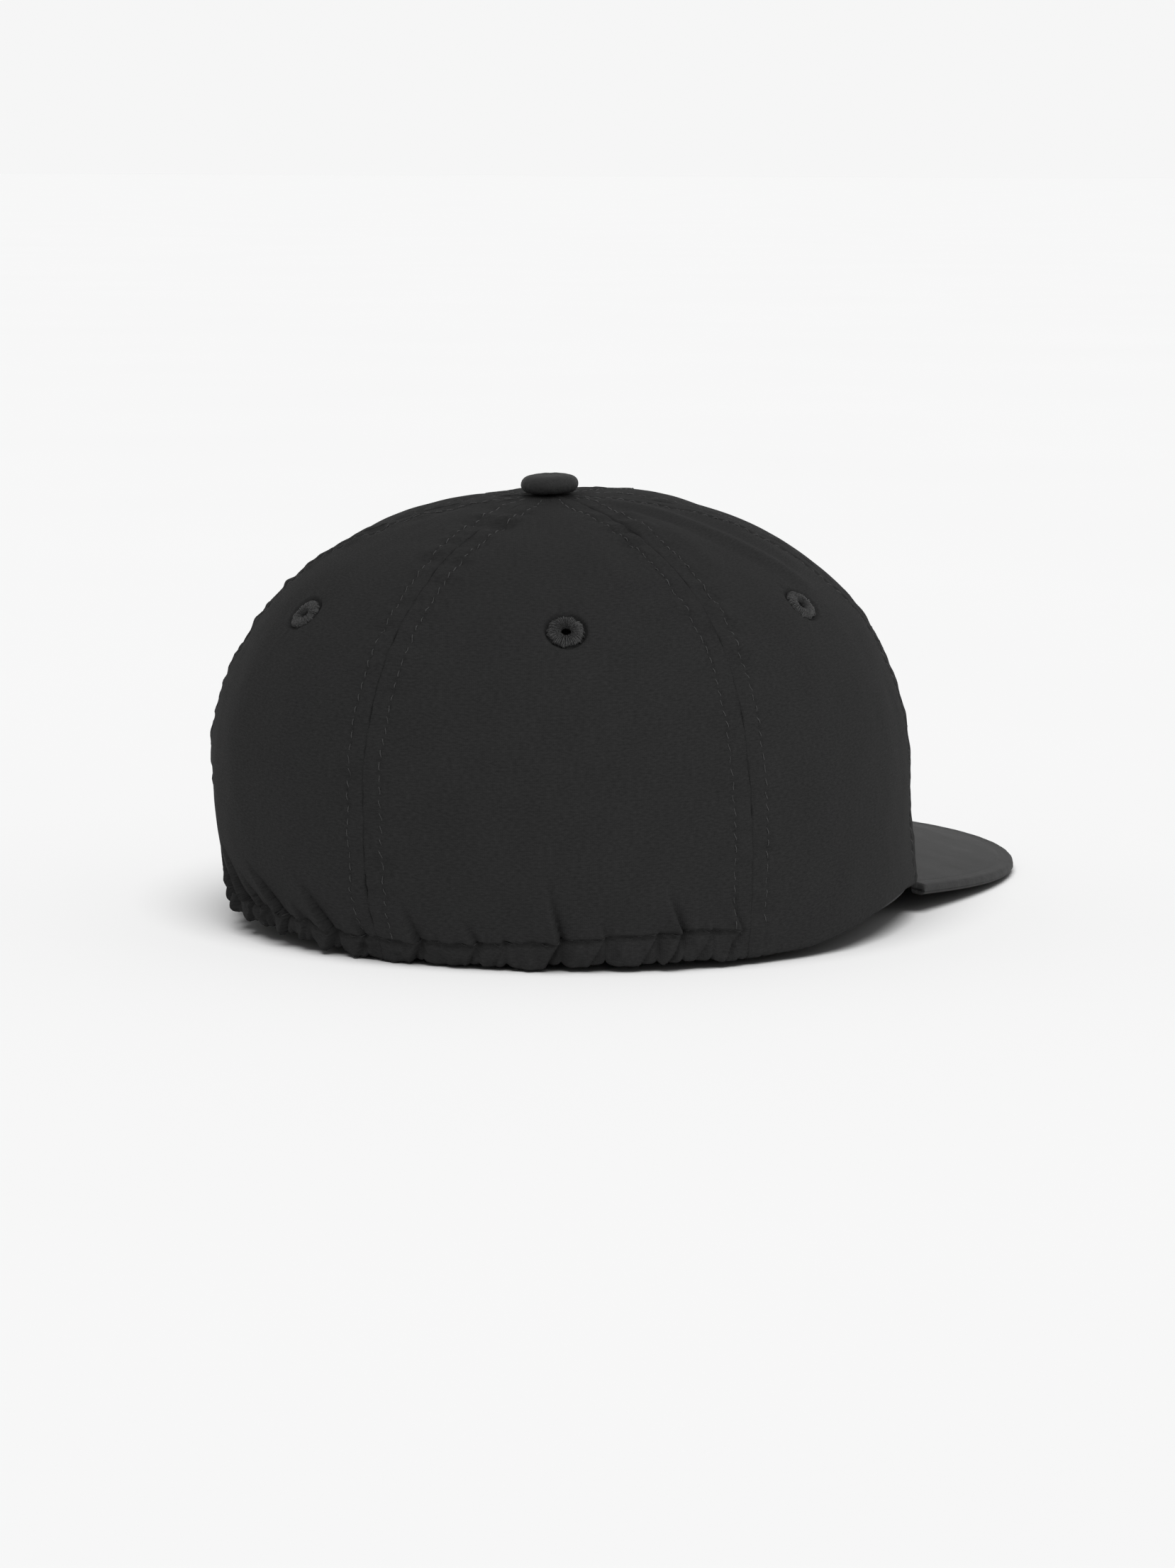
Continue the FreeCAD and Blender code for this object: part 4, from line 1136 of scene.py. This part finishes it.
def band_stitches():
    """Stitches on the inner face of the sweatband."""
    draw = np.random.default_rng(91)
    paths = []
    length = math.radians(2 * REAR_SEAM - 4) * HEM_RADIUS
    across = np.linspace(-1, 1, 5)
    for height in BAND_ROWS:
        for k in range(int(length / BAND_STITCH)):
            middle = -REAR_SEAM + 2 + math.degrees((k + 0.5) * BAND_STITCH / HEM_RADIUS)
            azimuth = (middle + np.degrees(1.3 * across / HEM_RADIUS)) % 360
            arc = np.full(5, height) + draw.normal(0, 0.05)
            even = CROWN.points(azimuth, arc)
            normal = CROWN.normals(azimuth, arc)
            depth = band_face(even, height, swell_relief(azimuth, arc, HEM_RADIUS))
            arch = depth + 0.08 - 0.3 * np.abs(across) ** 4
            paths.append((even - normal * arch[:, None], -normal))
    return paths


fit_to(sweatband_piece(), "cap", "sweatband_cloth", "sweatband")
fit_to(thread_mesh("sweatband_stitching", band_stitches(), 0.2), "cap", "embroidery_thread")


def casing_piece():
    """The hem's own cloth, turned in round the elastic and sewn through."""
    azimuths = np.linspace(REAR_SEAM + 0.2, 359.8 - REAR_SEAM, 330)
    # depth and arc height, from the hem's outer face down, round and up behind the elastic
    section = [(0.62, 0.9), (0.7, 0.35), (1.0, 0.05), (1.5, 0.0), (1.95, 0.3), (2.15, 1.0)]
    section += [(2.15 + 0.12 * math.sin(h), h) for h in np.linspace(1.6, 8.4, 16)]
    depths, arcs = np.array(section).T
    azimuth, arc = np.meshgrid(azimuths, arcs)
    normal = CROWN.normals(azimuth, arc)
    centre = cloth_points(azimuth, arc) - normal * depths[:, None, None]
    face = unit(np.cross(np.gradient(centre, axis=0), np.gradient(centre, axis=1)))
    half = face * CASING_CLOTH / 2
    uv = flat_place(azimuth, arc, 90.0)
    return closed_sheet("hem_casing", centre + half, centre - half, CROWN_CLOTH, uv)


fit_to(casing_piece(), "cap", "crown_cloth", "rear_hem_casing")

azimuths = np.linspace(REAR_SEAM + 0.8, 359.2 - REAR_SEAM, 320)
azimuth, arc = np.meshgrid(azimuths, np.linspace(1.6, 7.2, 14))
elastic = strip("gathered_elastic", azimuth, arc, 1.05, 0.55, ELASTIC)
fit_to(elastic, "cap", "elastic", "elastic_band")

azimuth, arc = np.meshgrid(np.linspace(246.2, 257.8, 40), np.linspace(9.8, 27.0, 50))
label = strip("sewn_label", azimuth, arc, LABEL_DEPTH, 0.32, LABEL, 0.15)
fit_to(label, "cap", "label", "care_label")


# ---------------------------------------------------------------- insert

PAD_DEPTH = SHELL_THICKNESS + PAD_GAP
PAD_EDGE = 3.2
PAD_LOW = INSERT_RIM + 1.0
PAD_HIGH = 60.0
CROWN_PAD_EDGE = 3.0
CROWN_PAD_HOLE = 12.0
CROWN_PAD_RADIUS = 44.0
# where on the rim its height is taken, and the azimuths that each pad spans
RIM_PADS = {
    "front_pad": (0, -40.0, 40.0), "side_pad_right": (87, 62.0, 112.0),
    "rear_pad": (180, 138.0, 222.0), "side_pad_left": (87, 248.0, 298.0),
}


def rim_pad(name, place, start, end):
    """Foam pad with rounded edges and a soft, dimpled inner face."""
    low, high = (INSERT.arc_at_height(place, z) for z in (PAD_LOW, PAD_HIGH))
    azimuth, arc = np.meshgrid(np.linspace(start, end, 70), np.linspace(low, high, 30))
    reach = np.radians(np.minimum(azimuth - start, end - azimuth)) * 84.0
    edge = round_edge(np.minimum(reach, np.minimum(arc - low, high - arc)), PAD_EDGE)
    even = INSERT.points(azimuth % 360, arc)
    normal = INSERT.normals(azimuth % 360, arc)
    depth = PAD_DEPTH + 0.4 + (PAD_THICKNESS - 0.5) * edge + 0.10 * MIDDLE(even) * edge
    return closed_sheet(name, even - normal * PAD_DEPTH, even - normal * depth[..., None], FOAM)


def crown_pad(name):
    """Closed foam ring that follows the insert near its apex, with rounded edges."""
    azimuths = np.linspace(0, 360, 145)
    shares = np.linspace(0, 1, 34)[:, None]
    lows, highs = (np.array([INSERT.arc_at_radius(a, radius) for a in azimuths])
                   for radius in (CROWN_PAD_RADIUS, CROWN_PAD_HOLE))
    arc = lows + (highs - lows) * shares
    azimuth = np.tile(azimuths, (len(shares), 1))
    span = CROWN_PAD_RADIUS - CROWN_PAD_HOLE
    edge = round_edge(np.minimum(shares, 1 - shares) * span, CROWN_PAD_EDGE)
    even = INSERT.points(azimuth, arc)
    normal = INSERT.normals(azimuth, arc)
    thickness = PAD_THICKNESS - 0.1
    bulk = 0.15 * thickness + 0.85 * thickness * edge + 0.10 * MIDDLE(even) * edge
    face = even - normal * (PAD_DEPTH + bulk)[..., None]
    rings = np.concatenate([even - normal * PAD_DEPTH, face[::-1]])[:, :-1]
    return loop_solid(name, rings, FOAM)


for node, span in RIM_PADS.items():
    piece = fit_to(rim_pad("foam_" + node, *span), "insert", "foam", node)
piece = fit_to(crown_pad("foam_crown_pad"), "insert", "foam", "crown_pad")

CAD_FINISHES = {
    "bump_shell": SHELL, "button_backing": WASHER, "peak_board": BOARD,
    "loop_patch": LOOP, "hook_patch": HOOK,
}
for node, material in CAD_FINISHES.items():
    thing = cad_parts[node]
    if not thing.material_slots:
        thing.data.materials.append(material)
    for slot in thing.material_slots:
        slot.material = material


# ---------------------------------------------------------------- floor, light and camera

FLOOR_HALF = 30.0           # metres, as are the gap below the cap and the camera's places
FLOOR_GAP = 0.0003
FLOOR_ALBEDO = 0.25
BACKGROUND = 0.921
OVERHEAD_STRENGTH = 9.75
OVERHEAD_SPREAD = 50.0
OVERHEAD_WAY = (-0.21, 0.42, 1.0)
KEY_STRENGTH = 0.75
KEY_SPREAD = 60.0
KEY_WAY = (-0.95, 0.10, 0.55)

# the camera is fitted to the photo, which is off its axis; its focal length and what it is off
# by are in pixels of the photo
CAMERA_HEADING = math.radians(31.119)
CAMERA_RISE = math.radians(7.132)
CAMERA_DISTANCE = 1.2
CAMERA_TARGET = Vector((0.0, 0.0396, 0.055))
FOCAL = 6324.8
OFF_AXIS = (-44.75, -100.27)
PHOTO_HEIGHT = 2212
SENSOR = 36.0


def make_floor():
    corners = [(x * FLOOR_HALF, y * FLOOR_HALF, 0) for x, y in ((-1, -1), (1, -1), (1, 1), (-1, 1))]
    finish = layered("floor", 1.0, (NOISE, (3.0, 2.0), FLOOR_ALBEDO - 0.001, FLOOR_ALBEDO + 0.001),
                     Specular_IOR_Level=0.0)
    mesh = bpy.data.meshes.new("floor")
    mesh.from_pydata(corners, [], [(0, 1, 2, 3)])
    mesh.materials.append(finish.material)
    floor = add_object("floor", mesh)
    floor.location.z = -FLOOR_GAP
    floor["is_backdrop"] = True
    return floor


def soft_sun(name, strength, spread, toward, floor, state):
    """A wide soft light that lights the floor only, or everything but the floor."""
    lamp = bpy.data.lights.new(name, "SUN")
    lamp.energy = strength
    lamp.angle = math.radians(spread)
    thing = add_object(name, lamp)
    thing.rotation_mode = "QUATERNION"
    thing.rotation_quaternion = (-Vector(toward)).to_track_quat("-Z", "Y")
    lit = bpy.data.collections.new(name + "_lights")
    lit.objects.link(floor)
    lit.collection_objects[0].light_linking.link_state = state
    thing.light_linking.receiver_collection = lit


def make_light(floor):
    """Even white surroundings, a light overhead for the floor and one on the cap's right."""
    world = bpy.data.worlds.new("studio")
    world.use_nodes = True
    background = world.node_tree.nodes["Background"]
    background.inputs["Color"].default_value = (BACKGROUND, BACKGROUND, BACKGROUND, 1)
    scene = bpy.context.scene
    scene.world = world
    soft_sun("overhead", OVERHEAD_STRENGTH, OVERHEAD_SPREAD, OVERHEAD_WAY, floor, "INCLUDE")
    soft_sun("key", KEY_STRENGTH, KEY_SPREAD, KEY_WAY, floor, "EXCLUDE")
    scene.view_settings.view_transform = "Standard"
    scene.view_settings.look = "None"


def make_camera():
    """Camera behind the cap's right side, a little above it."""
    level = math.cos(CAMERA_RISE)
    back = Vector((-math.sin(CAMERA_HEADING) * level, math.cos(CAMERA_HEADING) * level,
                   math.sin(CAMERA_RISE)))
    forward = -back
    right = forward.cross(Vector((0, 0, 1))).normalized()
    up = right.cross(forward)
    yaw, pitch = (math.atan(pixels / FOCAL) for pixels in OFF_AXIS)
    ahead = forward * math.cos(yaw) - right * math.sin(yaw)
    across = right * math.cos(yaw) + forward * math.sin(yaw)
    view = ahead * math.cos(pitch) + up * math.sin(pitch)
    above = up * math.cos(pitch) - ahead * math.sin(pitch)
    data = bpy.data.cameras.new("camera")
    data.sensor_width = SENSOR
    data.lens = FOCAL * SENSOR / PHOTO_HEIGHT
    data.clip_start, data.clip_end = 0.05, 200.0
    camera = add_object("camera", data)
    turn = Matrix((across, above, -view)).transposed()
    camera.matrix_world = Matrix.Translation(CAMERA_TARGET + back * CAMERA_DISTANCE) @ turn.to_4x4()
    bpy.context.scene.camera = camera


make_light(make_floor())
make_camera()

low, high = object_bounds()
